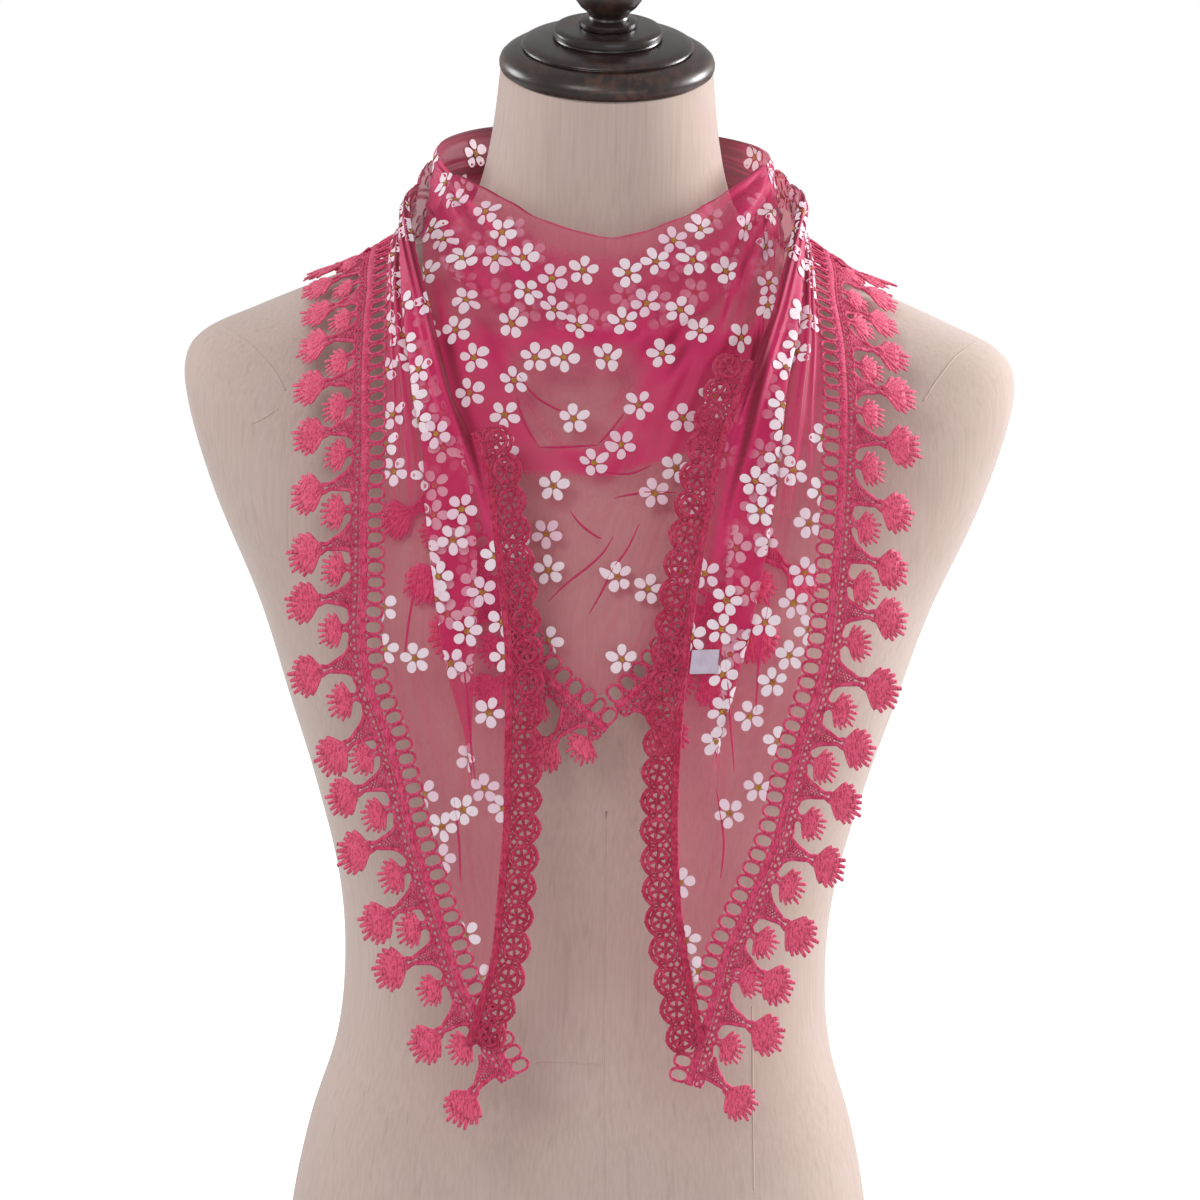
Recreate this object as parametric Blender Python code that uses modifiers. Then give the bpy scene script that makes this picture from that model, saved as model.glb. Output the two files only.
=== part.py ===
"""A sheer triangular lace shawl, worn as a bib round a linen dress form.

The form is a limbless torso with a turned wooden neck cap.  The shawl lies over
it in stretches: the bib in front, a turn round each side of the neck, two
swaths that cross behind, and two tails that hang down in front.  Leaf lace
borders the two short sides of the triangle and scalloped lace the long one.

Tables are in millimetres.  +X is the viewer's right, -Y the front, +Z up, and
the origin is in the middle of the underside of the form.
"""

import math
from collections import namedtuple

import bmesh
import bpy
from mathutils import Vector
from mathutils.bvhtree import BVHTree

MM = 0.001
SEAM = 0.3                # between pieces that are sewn or that touch

# ---------------------------------------------------------------- dress form

FORM_SIDES = 28
FORM_RINGS = 24
BUST_RISE = 11.0          # two low mounds on the chest
BUST_APART = 66.0
BUST_HEIGHT = 338.0
BUST_WIDE = 44.0
BUST_TALL = 50.0
BUST_FADE = 1.6           # how soon they start round from the sides

Section = namedtuple("Section", "height half_width front back squareness lean")
FORM = (
    Section(0, 141, 110, 118, 2.3, 0),
    Section(42, 138, 106, 112, 2.3, 0),
    Section(84, 130, 100, 98, 2.3, 0),
    Section(125, 118, 92, 84, 2.3, 0),
    Section(165, 115, 87, 76, 2.3, 0),
    Section(205, 119, 91, 76, 2.3, 0),
    Section(250, 131, 101, 82, 2.3, 0),
    Section(290, 144, 111, 88, 2.4, 0),
    Section(335, 159, 117, 92, 2.4, 0),
    Section(385, 181, 104, 95, 2.5, 0),
    Section(425, 194, 85, 92, 2.6, 0),
    Section(448, 196, 71, 87, 2.5, 0),
    Section(461, 187, 64, 81, 2.4, 0),
    Section(472, 164, 58, 75, 2.3, 0),
    Section(482, 141, 54, 70, 2.2, 0),
    Section(490, 121, 52, 65, 2.2, 1),
    Section(498, 99, 51, 61, 2.1, 2),
    Section(508, 79, 52, 58, 2.1, 3),
    Section(520, 65, 53, 55, 2.0, 5),
    Section(535, 58, 55, 52, 2.0, 7),
    Section(560, 53, 57, 48, 2.0, 11),
    Section(588, 50, 58, 42, 2.0, 15),
)

# Turned profile of the neck cap and of its knob, from the axis outwards.
CAP_STEPS = 20
Turned = namedtuple("Turned", "radius height")
CAP_PROFILE = (
    Turned(0, 21.5),
    Turned(24, 21.5),
    Turned(26, 19.5),
    Turned(26, 16.5),
    Turned(37, 14.5),
    Turned(40.5, 13),
    Turned(41.5, 11),
    Turned(45, 10),
    Turned(50, 6.5),
    Turned(50.8, 3),
    Turned(49, 0),
    Turned(0, 0),
)
KNOB_PROFILE = (
    Turned(0, 33),
    Turned(8, 31.5),
    Turned(14, 27),
    Turned(17, 20),
    Turned(15.5, 12.5),
    Turned(10, 7),
    Turned(9, 4.5),
    Turned(13.5, 2.5),
    Turned(13.5, 0),
    Turned(0, 0),
)

# ---------------------------------------------------------------- the shawl

WALL = 1.0                # thickness of a cloth wall
LACE_WALL = 1.2
CLOTH_GAP = 2.2           # middle of a cloth wall over the form
FACET_ROOM = 1.6          # for the flats between a sheet's points
SETTLE_ROUNDS = 14
SOFTEN_ROUNDS = 4         # for the directions along an edge
EDGE_REACH = 1.5          # sideways, past a lower sheet's edge
BEHIND_REACH = 22.0       # how far behind a lower sheet a point may start

# A station gives the upper (inner) edge of a stretch and its lower (outer) edge.
Station = namedtuple("Station", "up_x up_y up_z low_x low_y low_z")

BIB = (
    Station(-71, -25, 538, -84, -42, 509),
    Station(-60, -37, 534, -82, -70, 480),
    Station(-49, -47, 529, -77, -93, 449),
    Station(-37, -57, 523, -66, -108, 412),
    Station(-25, -62, 518, -46, -117, 372),
    Station(-11, -65, 514, -23, -123, 334),
    Station(4, -66, 512, 3, -127, 307),
    Station(17, -64, 514, 26, -124, 331),
    Station(30, -59, 519, 49, -119, 358),
    Station(43, -52, 524, 68, -113, 386),
    Station(54, -42, 531, 79, -101, 428),
    Station(65, -31, 538, 83, -76, 474),
    Station(76, -15, 546, 85, -44, 507),
)
BIB_COLUMNS = 21
BIB_ROWS = 14
BIB_CROWDING = 1.15       # power that sets its rows closer at the top
BIB_ARC = 150.0           # round its top edge
HEM_TURN = 46.0           # depth of the top edge that is turned to the inside
HEM_ROOM = 3.6            # between the turned edge and the bib
HEM_ROWS = (1.0, 0.55, 0.16)
HEM_GAP = CLOTH_GAP + HEM_ROOM + 0.8
HEM_SHARE = 0.72          # of the sheet's depth, where that is less
HEM_CREST = 1.6           # height of the turn over the top row
HEM_SHY = 0.25            # how far its ends keep back from the side seams

# Folds that hang across the bib, from one side of the neck to the other.
Swag = namedtuple("Swag", "drop tilt bow width height")
BIB_SWAGS = (
    Swag(0.10, 0.03, -0.02, 0.055, 4.5),
    Swag(0.23, -0.04, 0.03, 0.060, 5.6),
    Swag(0.37, 0.05, 0.02, 0.070, 5.4),
    Swag(0.52, -0.06, 0.04, 0.080, 4.4),
    Swag(0.70, 0.05, -0.03, 0.080, 3.0),
)
SWAG_HEIGHT = 5.6
SWAG_SPREAD = 1.6
SWAG_START = 12           # how soon they rise under the top edge

TURN_LEFT = (
    Station(-71, -25, 538, -84, -42, 509),
    Station(-79, -2, 547, -85, -8, 508),
    Station(-74, 27, 553, -79, 27, 508),
    Station(-58, 48, 557, -60, 55, 509),
    Station(-38, 60, 558, -38, 68, 508),
)
TURN_RIGHT = (
    Station(76, -15, 546, 85, -44, 507),
    Station(78, 8, 549, 85, -8, 507),
    Station(71, 33, 552, 78, 29, 510),
    Station(56, 50, 555, 58, 56, 519),
    Station(37, 60, 557, 37, 65, 535),
)
CROSS_OVER = (
    Station(37, 60, 557, 37, 65, 535),
    Station(15, 66, 552, 8, 75, 501),
    Station(-12, 66, 545, -19, 78, 478),
    Station(-40, 61, 540, -52, 76, 470),
    Station(-66, 47, 541, -84, 62, 476),
    Station(-81, 22, 541, -98, 34, 492),
    Station(-84, -6, 532, -98, -6, 507),
)
CROSS_UNDER = (
    Station(-38, 60, 558, -38, 68, 508),
    Station(-14, 64, 551, -12, 74, 494),
    Station(12, 64, 538, 18, 76, 478),
    Station(40, 60, 523, 52, 74, 471),
    Station(64, 46, 531, 83, 62, 478),
    Station(78, 22, 541, 97, 34, 496),
    Station(80, -6, 535, 97, -6, 511),
)
Size = namedtuple("Size", "rows columns")
TURN_SIZE = Size(7, 9)
CROSS_SIZE = Size(12, 11)
SEWN_GAP = 0.6            # where a gathered edge meets a straight one

# Folds that run along a stretch.  Places are fractions across and along it.
Fold = namedtuple("Fold", "place drift width height begin end")
TURN_FOLDS = (
    Fold(0.18, 0.04, 0.16, 3.8, 0, 2),
    Fold(0.50, -0.05, 0.15, 3.2, 0, 2),
    Fold(0.82, 0.03, 0.14, 3.6, 0, 2),
)
CROSS_FOLDS = (
    Fold(0.18, 0.04, 0.16, 3.8, -1, 1),
    Fold(0.50, -0.05, 0.15, 3.2, -1, 1),
    Fold(0.82, 0.03, 0.14, 3.6, -1, 1),
)
BAND_HEIGHT = 4.0

# A tail's station also gives how much cloth is lapped over in it.
Hang = namedtuple("Hang", "up_x up_y up_z low_x low_y low_z lap")
TAIL_LEFT = (
    Hang(-84, -6, 532, -98, -6, 507, 0),
    Hang(-84, -24, 525, -99, -30, 500, 3),
    Hang(-81, -58, 502, -99, -60, 486, 7),
    Hang(-74, -88, 472, -99, -84, 465, 11),
    Hang(-66, -110, 442, -98, -106, 440, 15),
    Hang(-54, -123, 417, -97, -119, 417, 21),
    Hang(-48, -132, 391, -97, -128, 392, 25),
    Hang(-43, -138, 358, -96, -134, 360, 24),
    Hang(-39, -139, 320, -95, -136, 322, 17),
    Hang(-39, -139, 286, -82, -137, 286, 6),
    Hang(-39, -139, 250, -73, -138, 250, 0),
    Hang(-41, -139, 215, -61, -138, 215, 0),
    Hang(-43, -139, 188, -52, -139, 188, 0),
    Hang(-45.5, -139, 177, -48, -139, 177, 0),
)
TAIL_RIGHT = (
    Hang(80, -6, 535, 97, -6, 511, 0),
    Hang(80, -24, 528, 98, -30, 504, 3),
    Hang(79, -58, 505, 99, -60, 489, 7),
    Hang(74, -88, 474, 102, -84, 468, 10),
    Hang(64, -110, 443, 103, -106, 444, 15),
    Hang(57, -122, 419, 103, -118, 420, 20),
    Hang(52, -131, 392, 102, -127, 394, 22),
    Hang(47, -137, 360, 100, -134, 362, 20),
    Hang(43, -139, 322, 96, -136, 324, 13),
    Hang(41, -139, 287, 85, -137, 287, 4),
    Hang(41, -139, 250, 78, -138, 250, 0),
    Hang(43, -139, 217, 64, -138, 214, 0),
    Hang(47, -139, 190, 54, -139, 190, 0),
    Hang(49.5, -139, 178, 52, -139, 178, 0),
)
TAIL_ROWS = 23
TAIL_GAP = 9.5
PLUMB_FROM = 0.52         # along a tail, where it starts to hang free
LAP_LAYER = 2.7           # from one lapped layer to the next
LAP_FULL = 6.0            # lap from which the layers lie flat on each other
LAP_PART = 3.0            # lap from which they are fully apart

# Points across a tail: the lap takes each one sideways and up by some layers.
Pleat = namedtuple("Pleat", "across shift layer")
TAIL_PLEATS = (
    Pleat(0.00, 0.00, 0.0),
    Pleat(0.15, 0.00, 0.0),
    Pleat(0.30, 0.00, 0.0),
    Pleat(0.44, 0.18, 0.0),
    Pleat(0.53, 0.44, 0.0),
    Pleat(0.56, 0.54, 0.5),
    Pleat(0.59, 0.44, 1.0),
    Pleat(0.62, 0.00, 1.0),
    Pleat(0.65, -0.44, 1.0),
    Pleat(0.68, -0.54, 1.5),
    Pleat(0.71, -0.44, 2.0),
    Pleat(0.80, -0.18, 2.0),
    Pleat(0.90, 0.00, 2.0),
    Pleat(1.00, 0.00, 2.0),
)
LAP_FROM, LAP_TO = 0.53, 0.71    # across a tail, where the lap begins and ends
TAIL_FOLDS = (
    Fold(0.22, 0.05, 0.18, 3.4, 0, 0.62),
    Fold(0.86, 0.02, 0.16, 3.2, 0, 0.45),
    Fold(0.30, -0.08, 0.22, 2.4, 0.45, 0.95),
)

# ---------------------------------------------------------------- leaf lace

RING_PITCH = 6.8
RING_RUNG = 0.85          # half of the thread between two rings
RING_NEAR = 1.5           # hole of a ring, out from the cloth's edge
RING_FAR = 7.4
BAND_EDGE = 15.5          # outer edge of the braid and its net
RINGS_TO_A_REPEAT = 4
LONG_AT = 1               # cell of a repeat that carries a long pendant
SHORT_AT = 3
DROOP = math.radians(9)

# A pendant, out from the band: distance from the cloth's edge, half width.
Width = namedtuple("Width", "out half")
LONG_PENDANT = (Width(22, 1.4), Width(29, 1.5), Width(36, 7.8), Width(45, 4.4))
SHORT_PENDANT = (Width(18.5, 1.3), Width(22, 6.8), Width(29, 3.4))
LACE_GAP = 1.2            # over the form at the cloth's edge
LACE_SLOPE = 0.22         # how much further off it lies for each mm out
LACE_FAR_GAP = 4.6        # and at most
LIE_REACH = 40.0          # from the form within which a border follows it
LACE_OVER = 2.6           # over another lace, where two cross
LACE_CROSSING = 6         # frames of the lower one that the upper one crosses
TIP_RUN = 6               # ring cells that run on past the tip of a tail
CORNER_RUN = 2            # ring cells that run on past the point of the bib
CORNER_START = 3.0        # from that point to the lace of its other side

# ---------------------------------------------------------------- scalloped lace

SCALLOP_PITCH = 13.5
SCALLOP_STEPS = 3
SCALLOP_BASE = 12.8
SCALLOP_RISES = (0.0, 4.6, 4.6)
SCALLOP_LIFT = 2.4        # over the leaf lace at the tip
SCALLOP_CLIMB = 20.0      # length in which it gets there
SCALLOP_RUN = 20.0        # past the tip of the cloth
SCALLOP_RISE = 45.0       # from its end to where it starts to climb

# Rows and columns of the sheets at which a border comes into sight.
BIB_LACE_FROM = 5
OVER_LACE_FROM = 1
UNDER_LACE_FROM = 4
SCALLOP_LEFT_FROM = 8
SCALLOP_RIGHT_FROM = 6
Border = namedtuple("Border", "side tail swath leaf_from scallop_from")

LABEL_WIDTH = 12.5
LABEL_HEIGHT = 11.0
LABEL_TOP = 332.0
LABEL_IN = 1.0            # from the cloth's edge
LABEL_BEHIND = 1.5

Finish = namedtuple("Finish", "name colour roughness metallic")
LINEN = Finish("linen", (0.62, 0.55, 0.48, 1), 0.9, 0)
WOOD = Finish("dark_wood", (0.045, 0.028, 0.024, 1), 0.3, 0)
SHEER = Finish("sheer_pink", (0.60, 0.12, 0.20, 1), 0.6, 0)
LACE = Finish("pink_lace", (0.68, 0.06, 0.16, 1), 0.8, 0)
SATIN = Finish("white_satin", (0.80, 0.76, 0.80, 1), 0.6, 0)


def blend(rows, position):
    """Return the row at a fractional place in a table, on a smooth curve through the rows."""
    last = len(rows) - 1
    index = max(0, min(int(position), last - 1))
    t = position - index
    four = (rows[max(index - 1, 0)], rows[index], rows[index + 1], rows[min(index + 2, last)])
    values = []
    for a, b, c, d in zip(*four):
        bend = (2 * a - 5 * b + 4 * c - d) * t * t + (3 * b - a - 3 * c + d) * t ** 3
        values.append(b + 0.5 * ((c - a) * t + bend))
    return type(rows[0])(*values)


def bump(distance):
    """Return a smooth hump: 1 at 0, and 0 from 1 outwards."""
    return 0.5 + 0.5 * math.cos(math.pi * distance) if abs(distance) < 1 else 0.0


def power_of(value, exponent):
    """Raise the size of a value to a power and keep its sign."""
    return math.copysign(abs(value) ** exponent, value)


def make_material(finish):
    """Make the Principled material of a finish, once."""
    found = bpy.data.materials.get(finish.name)
    if found:
        return found
    material = bpy.data.materials.new(finish.name)
    material.use_nodes = True
    shader = material.node_tree.nodes["Principled BSDF"]
    shader.inputs["Base Color"].default_value = finish.colour
    shader.inputs["Roughness"].default_value = finish.roughness
    shader.inputs["Metallic"].default_value = finish.metallic
    return material


def add_object(name, mesh, finish):
    """Turn a bmesh into a named object of the model's collection."""
    data = bpy.data.meshes.new(name)
    mesh.to_mesh(data)
    mesh.free()
    data.materials.append(make_material(finish))
    data.shade_smooth()
    item = bpy.data.objects.new(name, data)
    bpy.data.collections["lace_shawl"].objects.link(item)
    return item


# ---------------------------------------------------------------- dress form


def form_point(section, angle):
    """Return a point of a section of the form; the angle is 0 at +X and 90 degrees at the back."""
    across, deep = math.cos(angle), math.sin(angle)
    exponent = 2 / section.squareness
    x = section.half_width * power_of(across, exponent)
    y = (section.back if deep > 0 else section.front) * power_of(deep, exponent)
    if deep < 0:
        aside = (abs(x) - BUST_APART) / BUST_WIDE
        above = (section.height - BUST_HEIGHT) / BUST_TALL
        y -= BUST_RISE * math.exp(-aside ** 2 - above ** 2) * min(1, -BUST_FADE * deep)
    middle = (section.back - section.front) / 2
    z = section.height + (y - middle) * math.tan(math.radians(section.lean))
    return Vector((x, y, z)) * MM


def build_form():
    """Loft the torso and neck; return the object and a search tree of its surface."""
    mesh = bmesh.new()
    rings = []
    for row in range(FORM_RINGS):
        section = blend(FORM, row * (len(FORM) - 1) / (FORM_RINGS - 1))
        angles = [2 * math.pi * side / FORM_SIDES for side in range(FORM_SIDES)]
        rings.append([mesh.verts.new(form_point(section, angle)) for angle in angles])
    for low, high in zip(rings, rings[1:]):
        for side in range(FORM_SIDES):
            after = (side + 1) % FORM_SIDES
            mesh.faces.new((low[side], low[after], high[after], high[side]))
    mesh.faces.new(list(reversed(rings[0])))
    mesh.faces.new(rings[-1])
    mesh.normal_update()
    tree = BVHTree.FromBMesh(mesh)
    return add_object("dress_form", mesh, LINEN), tree


def turned_piece(name, profile, height_over_neck):
    """Turn a profile round the neck's axis, leaning with the top of the neck."""
    mesh = bmesh.new()
    points = [mesh.verts.new(Vector((step.radius, 0, step.height)) * MM) for step in profile]
    for upper, lower in zip(points, points[1:]):
        mesh.edges.new((upper, lower))
    item = add_object(name, mesh, WOOD)
    top = FORM[-1]
    lean = math.radians(top.lean)
    middle = Vector((0, (top.back - top.front) / 2, top.height))
    axis = Vector((0, -math.sin(lean), math.cos(lean)))
    item.location = (middle + axis * height_over_neck) * MM
    item.rotation_euler = (lean, 0, 0)
    screw = item.modifiers.new("turned", "SCREW")
    screw.axis = "Z"
    screw.steps = CAP_STEPS
    screw.render_steps = CAP_STEPS
    screw.use_merge_vertices = True
    screw.merge_threshold = 0.00005
    return item


# ---------------------------------------------------------------- sheets of cloth


def push_clear(point, layers):
    """Move a point out until it is clear of every layer beneath it."""
    for tree, gap, closed in layers:
        spot, normal, _, distance = tree.find_nearest(point)
        offset = point - spot
        side = offset.dot(normal)
        beside = (offset - normal * side).length > EDGE_REACH * MM
        if closed or (not beside and side > -BEHIND_REACH * MM):
            if side < gap * MM:
                point = point + normal * (gap * MM - side)
        elif distance < gap * MM:
            point = point + normal * (gap * MM - distance)
    return point


def settle(grid, layers, plumb_from=None):
    """Rest a sheet on what lies beneath it, with the lift spread smoothly over the sheet."""
    rows, columns = len(grid), len(grid[0])
    lifts = [[Vector() for _ in range(columns)] for _ in range(rows)]
    for _ in range(SETTLE_ROUNDS):
        spread = []
        for i in range(rows):
            line = []
            for j in range(columns):
                near = [lifts[max(i - 1, 0)][j], lifts[min(i + 1, rows - 1)][j]]
                near += [lifts[i][max(j - 1, 0)], lifts[i][min(j + 1, columns - 1)]]
                line.append((lifts[i][j] * 2 + sum(near, Vector())) / 6)
            spread.append(line)
        if plumb_from is not None:
            for i in range(int(plumb_from * rows), rows):
                for j in range(columns):
                    spread[i][j].y = min(spread[i][j].y, spread[i - 1][j].y)
        for i in range(rows):
            for j in range(columns):
                placed = push_clear(grid[i][j] + spread[i][j], layers)
                lifts[i][j] = placed - grid[i][j]
    return [[grid[i][j] + lifts[i][j] for j in range(columns)] for i in range(rows)]


def sheet_normals(grid):
    """Return the outward normal at each point of a sheet."""
    rows, columns = len(grid), len(grid[0])
    middle = sum((grid[i][j] for i in range(rows) for j in range(columns)), Vector())
    middle /= rows * columns
    normals, facing = [], 0.0
    for i in range(rows):
        line = []
        for j in range(columns):
            along = grid[min(i + 1, rows - 1)][j] - grid[max(i - 1, 0)][j]
            across = grid[i][min(j + 1, columns - 1)] - grid[i][max(j - 1, 0)]
            normal = along.cross(across).normalized()
            facing += normal.dot(Vector((middle.x, middle.y, 0)))
            line.append(normal)
        normals.append(line)
    sign = 1 if facing > 0 else -1
    return [[normal * sign for normal in line] for line in normals]


def raise_folds(grid, height_at):
    """Move each point out by the height of the folds there, given fractions down and across."""
    rows, columns = len(grid), len(grid[0])
    normals = sheet_normals(grid)
    raised = []
    for i in range(rows):
        line = []
        for j in range(columns):
            height = height_at(i / (rows - 1), j / (columns - 1)) * MM
            line.append(grid[i][j] + normals[i][j] * height)
        raised.append(line)
    return raised


def fold_height(folds, along, across):
    """Return the height of long folds at a place on a stretch."""
    total = 0.0
    for fold in folds:
        if fold.begin < along < fold.end:
            middle, half = (fold.begin + fold.end) / 2, (fold.end - fold.begin) / 2
            fade = min(1, 2 * bump((along - middle) / half))
            place = fold.place + fold.drift * math.sin(2 * math.pi * along)
            total += fold.height * fade * bump((across - place) / fold.width)
    return total


def sheet_tree(grid):
    """Return a search tree of a sheet, with its faces turned outwards."""
    rows, columns = len(grid), len(grid[0])
    points = [point for line in grid for point in line]
    normal = sheet_normals(grid)[rows // 2][columns // 2]
    i, j = rows // 2, columns // 2
    turn = (grid[i][j] - grid[i - 1][j]).cross(grid[i][j] - grid[i][j - 1]).dot(normal)
    faces = []
    for row in range(rows - 1):
        for column in range(columns - 1):
            a = row * columns + column
            face = (a, a + columns, a + columns + 1, a + 1)
            faces.append(face if turn > 0 else face[::-1])
    return BVHTree.FromPolygons(points, faces)


def add_wall(item, thickness):
    """Give a sheet its thickness, half to each side."""
    wall = item.modifiers.new("wall", "SOLIDIFY")
    wall.thickness = thickness * MM
    wall.offset = 0
    wall.use_quality_normals = True


def build_sheet(name, grid, finish, thickness):
    """Make a sheet's object: a grid whose points are moved to the drape, with a wall."""
    rows, columns = len(grid), len(grid[0])
    mesh = bmesh.new()
    bmesh.ops.create_grid(mesh, x_segments=columns - 1, y_segments=rows - 1, size=0.5)
    for vertex in mesh.verts:
        column = round((vertex.co.x + 0.5) * (columns - 1))
        row = round((vertex.co.y + 0.5) * (rows - 1))
        vertex.co = grid[row][column]
    item = add_object(name, mesh, finish)
    add_wall(item, thickness)
    return item


def band_grid(table, rows, columns, first_gap, last_gap):
    """Return the points of a stretch from its stations, held off its neighbours at the seams."""
    grid = []
    length = sum((edge_mid(b) - edge_mid(a)).length for a, b in zip(table, table[1:]))
    for i in range(rows):
        along = i / (rows - 1)
        along = first_gap / length + along * (1 - (first_gap + last_gap) / length)
        station = blend(table, along * (len(table) - 1))
        upper = Vector((station.up_x, station.up_y, station.up_z))
        lower = Vector((station.low_x, station.low_y, station.low_z))
        line = [upper.lerp(lower, j / (columns - 1)) * MM for j in range(columns)]
        grid.append(line)
    return grid


def edge_mid(station):
    """Return the middle of a station."""
    upper = Vector((station.up_x, station.up_y, station.up_z))
    return upper.lerp(Vector((station.low_x, station.low_y, station.low_z)), 0.5)


def line_at(line, fraction):
    """Return the point at a fraction of the length of a line of points."""
    lengths = [(b - a).length for a, b in zip(line, line[1:])]
    left = fraction * sum(lengths)
    for a, b, length in zip(line, line[1:], lengths):
        if left <= length:
            return a.lerp(b, left / length)
        left -= length
    return line[-1].copy()


def build_band(name, table, size, folds, layers, sewn_to):
    """Make a gathered stretch round the neck; return its smooth sheet and its folded one.

    size gives its rows and columns; sewn_to is the edge of the piece before it,
    whose line its first row takes over.
    """
    rows, columns = size
    grid = band_grid(table, rows, columns, SEAM / 2, SEAM / 2)
    smooth = settle(grid, layers)
    folded = raise_folds(smooth, lambda along, across: fold_height(folds, along, across))
    for j in range(columns):
        edge = line_at(sewn_to, j / (columns - 1))
        onward = (folded[1][j] - edge).normalized()
        folded[0][j] = edge + onward * SEWN_GAP * MM
    build_sheet(name, folded, SHEER, WALL)
    return smooth, folded


def swag_height(down, across):
    """Return the height of the bib's hanging folds."""
    total = 0.0
    side = 2 * across - 1
    for swag in BIB_SWAGS:
        place = swag.drop + swag.tilt * side + swag.bow * math.cos(3 * side)
        total += swag.height * bump((down - place) / swag.width / SWAG_SPREAD) * (1 - side ** 6)
    return total


def build_bib(form_tree):
    """Make the bib, with its top edge turned to the inside; return its smooth and folded sheets."""
    across = [j / (BIB_COLUMNS - 1) for j in range(BIB_COLUMNS)]
    down = [(i / (BIB_ROWS - 1)) ** BIB_CROWDING for i in range(BIB_ROWS)]
    grid = []
    for fall in down:
        line = []
        for place in across:
            place = SEAM / 2 / BIB_ARC + place * (1 - SEAM / BIB_ARC)
            station = blend(BIB, place * (len(BIB) - 1))
            upper = Vector((station.up_x, station.up_y, station.up_z))
            lower = Vector((station.low_x, station.low_y, station.low_z))
            line.append(upper.lerp(lower, fall) * MM)
        grid.append(line)
    smooth = settle(grid, [(form_tree, HEM_GAP, True)])
    normals = sheet_normals(smooth)
    folded = []
    for i, fall in enumerate(down):
        rise = [swag_height(fall, place) * min(1, SWAG_START * fall) * MM for place in across]
        folded.append([smooth[i][j] + normals[i][j] * rise[j] for j in range(BIB_COLUMNS)])
    build_sheet("bib", turned_hem(smooth, normals) + folded, SHEER, WALL)
    return smooth, folded


def turned_hem(sheet, normals):
    """Return the rows of the edge that is turned to the inside, up to its crest."""
    hem = []
    for part in HEM_ROWS:
        line = []
        for j in range(BIB_COLUMNS):
            reach = min(HEM_TURN, HEM_SHARE * (sheet[-1][j] - sheet[0][j]).length / MM)
            point, normal = follow(sheet, j, part * reach * MM, normals)
            line.append(point - normal * HEM_ROOM * MM)
        hem.append(line)
    crest = []
    for j in range(BIB_COLUMNS):
        way = (sheet[0][j] - sheet[1][j]).normalized()
        crest.append(sheet[0][j] + (way * HEM_CREST - normals[0][j] * HEM_ROOM / 2) * MM)
    hem.append(crest)
    for line in hem:
        line[0] = line[0].lerp(line[1], HEM_SHY)
        line[-1] = line[-1].lerp(line[-2], HEM_SHY)
    return hem


def follow(grid, column, distance, normals):
    """Return the point and normal that lie a distance down a column of a sheet."""
    walked = 0.0
    for i in range(len(grid) - 1):
        step = (grid[i + 1][column] - grid[i][column]).length
        if walked + step >= distance:
            part = (distance - walked) / step
            point = grid[i][column].lerp(grid[i + 1][column], part)
            return point, normals[i][column].lerp(normals[i + 1][column], part).normalized()
        walked += step
    return grid[-1][column], normals[-1][column]


def build_tail(name, table, layers):
    """Make a hanging tail with a lap of cloth in it; return its folded sheet."""
    grid = []
    last = len(table) - 1
    stations = [blend(table, last * i / (TAIL_ROWS - 1)) for i in range(TAIL_ROWS)]
    for station in stations:
        upper = Vector((station.up_x, station.up_y, station.up_z))
        lower = Vector((station.low_x, station.low_y, station.low_z))
        width = max((upper - lower).length, 1)
        line = []
        for pleat in TAIL_PLEATS:
            place = pleat.across + pleat.shift * station.lap / width
            line.append(lower.lerp(upper, place) * MM)
        grid.append(line)
    smooth = settle(grid, layers, PLUMB_FROM)
    normals = tail_normals(smooth)
    folded = []
    for i, station in enumerate(stations):
        along = i / (TAIL_ROWS - 1)
        apart = min(1, station.lap / LAP_PART) * LAP_LAYER
        flat = min(1, max(0, station.lap / LAP_FULL))
        line = []
        for j, pleat in enumerate(TAIL_PLEATS):
            slope = 2 * min(1, max(0, (pleat.across - LAP_FROM) / (LAP_TO - LAP_FROM)))
            layer = pleat.layer * flat + slope * (1 - flat)
            rise = layer * apart + fold_height(TAIL_FOLDS, along, pleat.across)
            line.append(smooth[i][j] + normals[i] * rise * MM)
        folded.append(line)
    build_sheet(name, folded, SHEER, WALL)
    return folded


def tail_normals(grid):
    """Return one outward normal for each row of a tail, from its edges."""
    rows = len(grid)
    normals = []
    for i in range(rows):
        along = grid[min(i + 1, rows - 1)][0] - grid[max(i - 1, 0)][0]
        across = grid[i][-1] - grid[i][0]
        normal = along.cross(across).normalized()
        normals.append(-normal if normal.y > 0 else normal)
    for _ in range(SOFTEN_ROUNDS):
        normals = [
            (normals[max(i - 1, 0)] + normals[i] + normals[min(i + 1, rows - 1)]).normalized()
            for i in range(rows)
        ]
    return normals


# ---------------------------------------------------------------- lace borders

Frame = namedtuple("Frame", "point along outward normal")


def edge_frames(points, inside, run_on, plumb=False):
    """Return frames along an edge of a sheet.

    run_on adds a straight end of that length; a plumb border hangs straight
    down instead of following the slope of the sheet.
    """
    frames = []
    last = len(points) - 1
    for i, point in enumerate(points):
        along = (points[min(i + 1, last)] - points[max(i - 1, 0)]).normalized()
        outward = point - inside[i]
        if plumb:
            outward.y = 0
        outward = (outward - along * outward.dot(along)).normalized()
        frames.append([point, along, outward])
    for _ in range(SOFTEN_ROUNDS):
        soft = []
        for i, (point, along, outward) in enumerate(frames):
            near = frames[max(i - 1, 0)][2] + outward * 2 + frames[min(i + 1, last)][2]
            near = (near - along * near.dot(along)).normalized()
            soft.append([point, along, near])
        frames = soft
    if run_on:
        point, along, outward = frames[-1]
        frames.append([point + along * run_on * MM, along, outward])
    return [Frame(point, along, outward, along.cross(outward)) for point, along, outward in frames]


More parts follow.
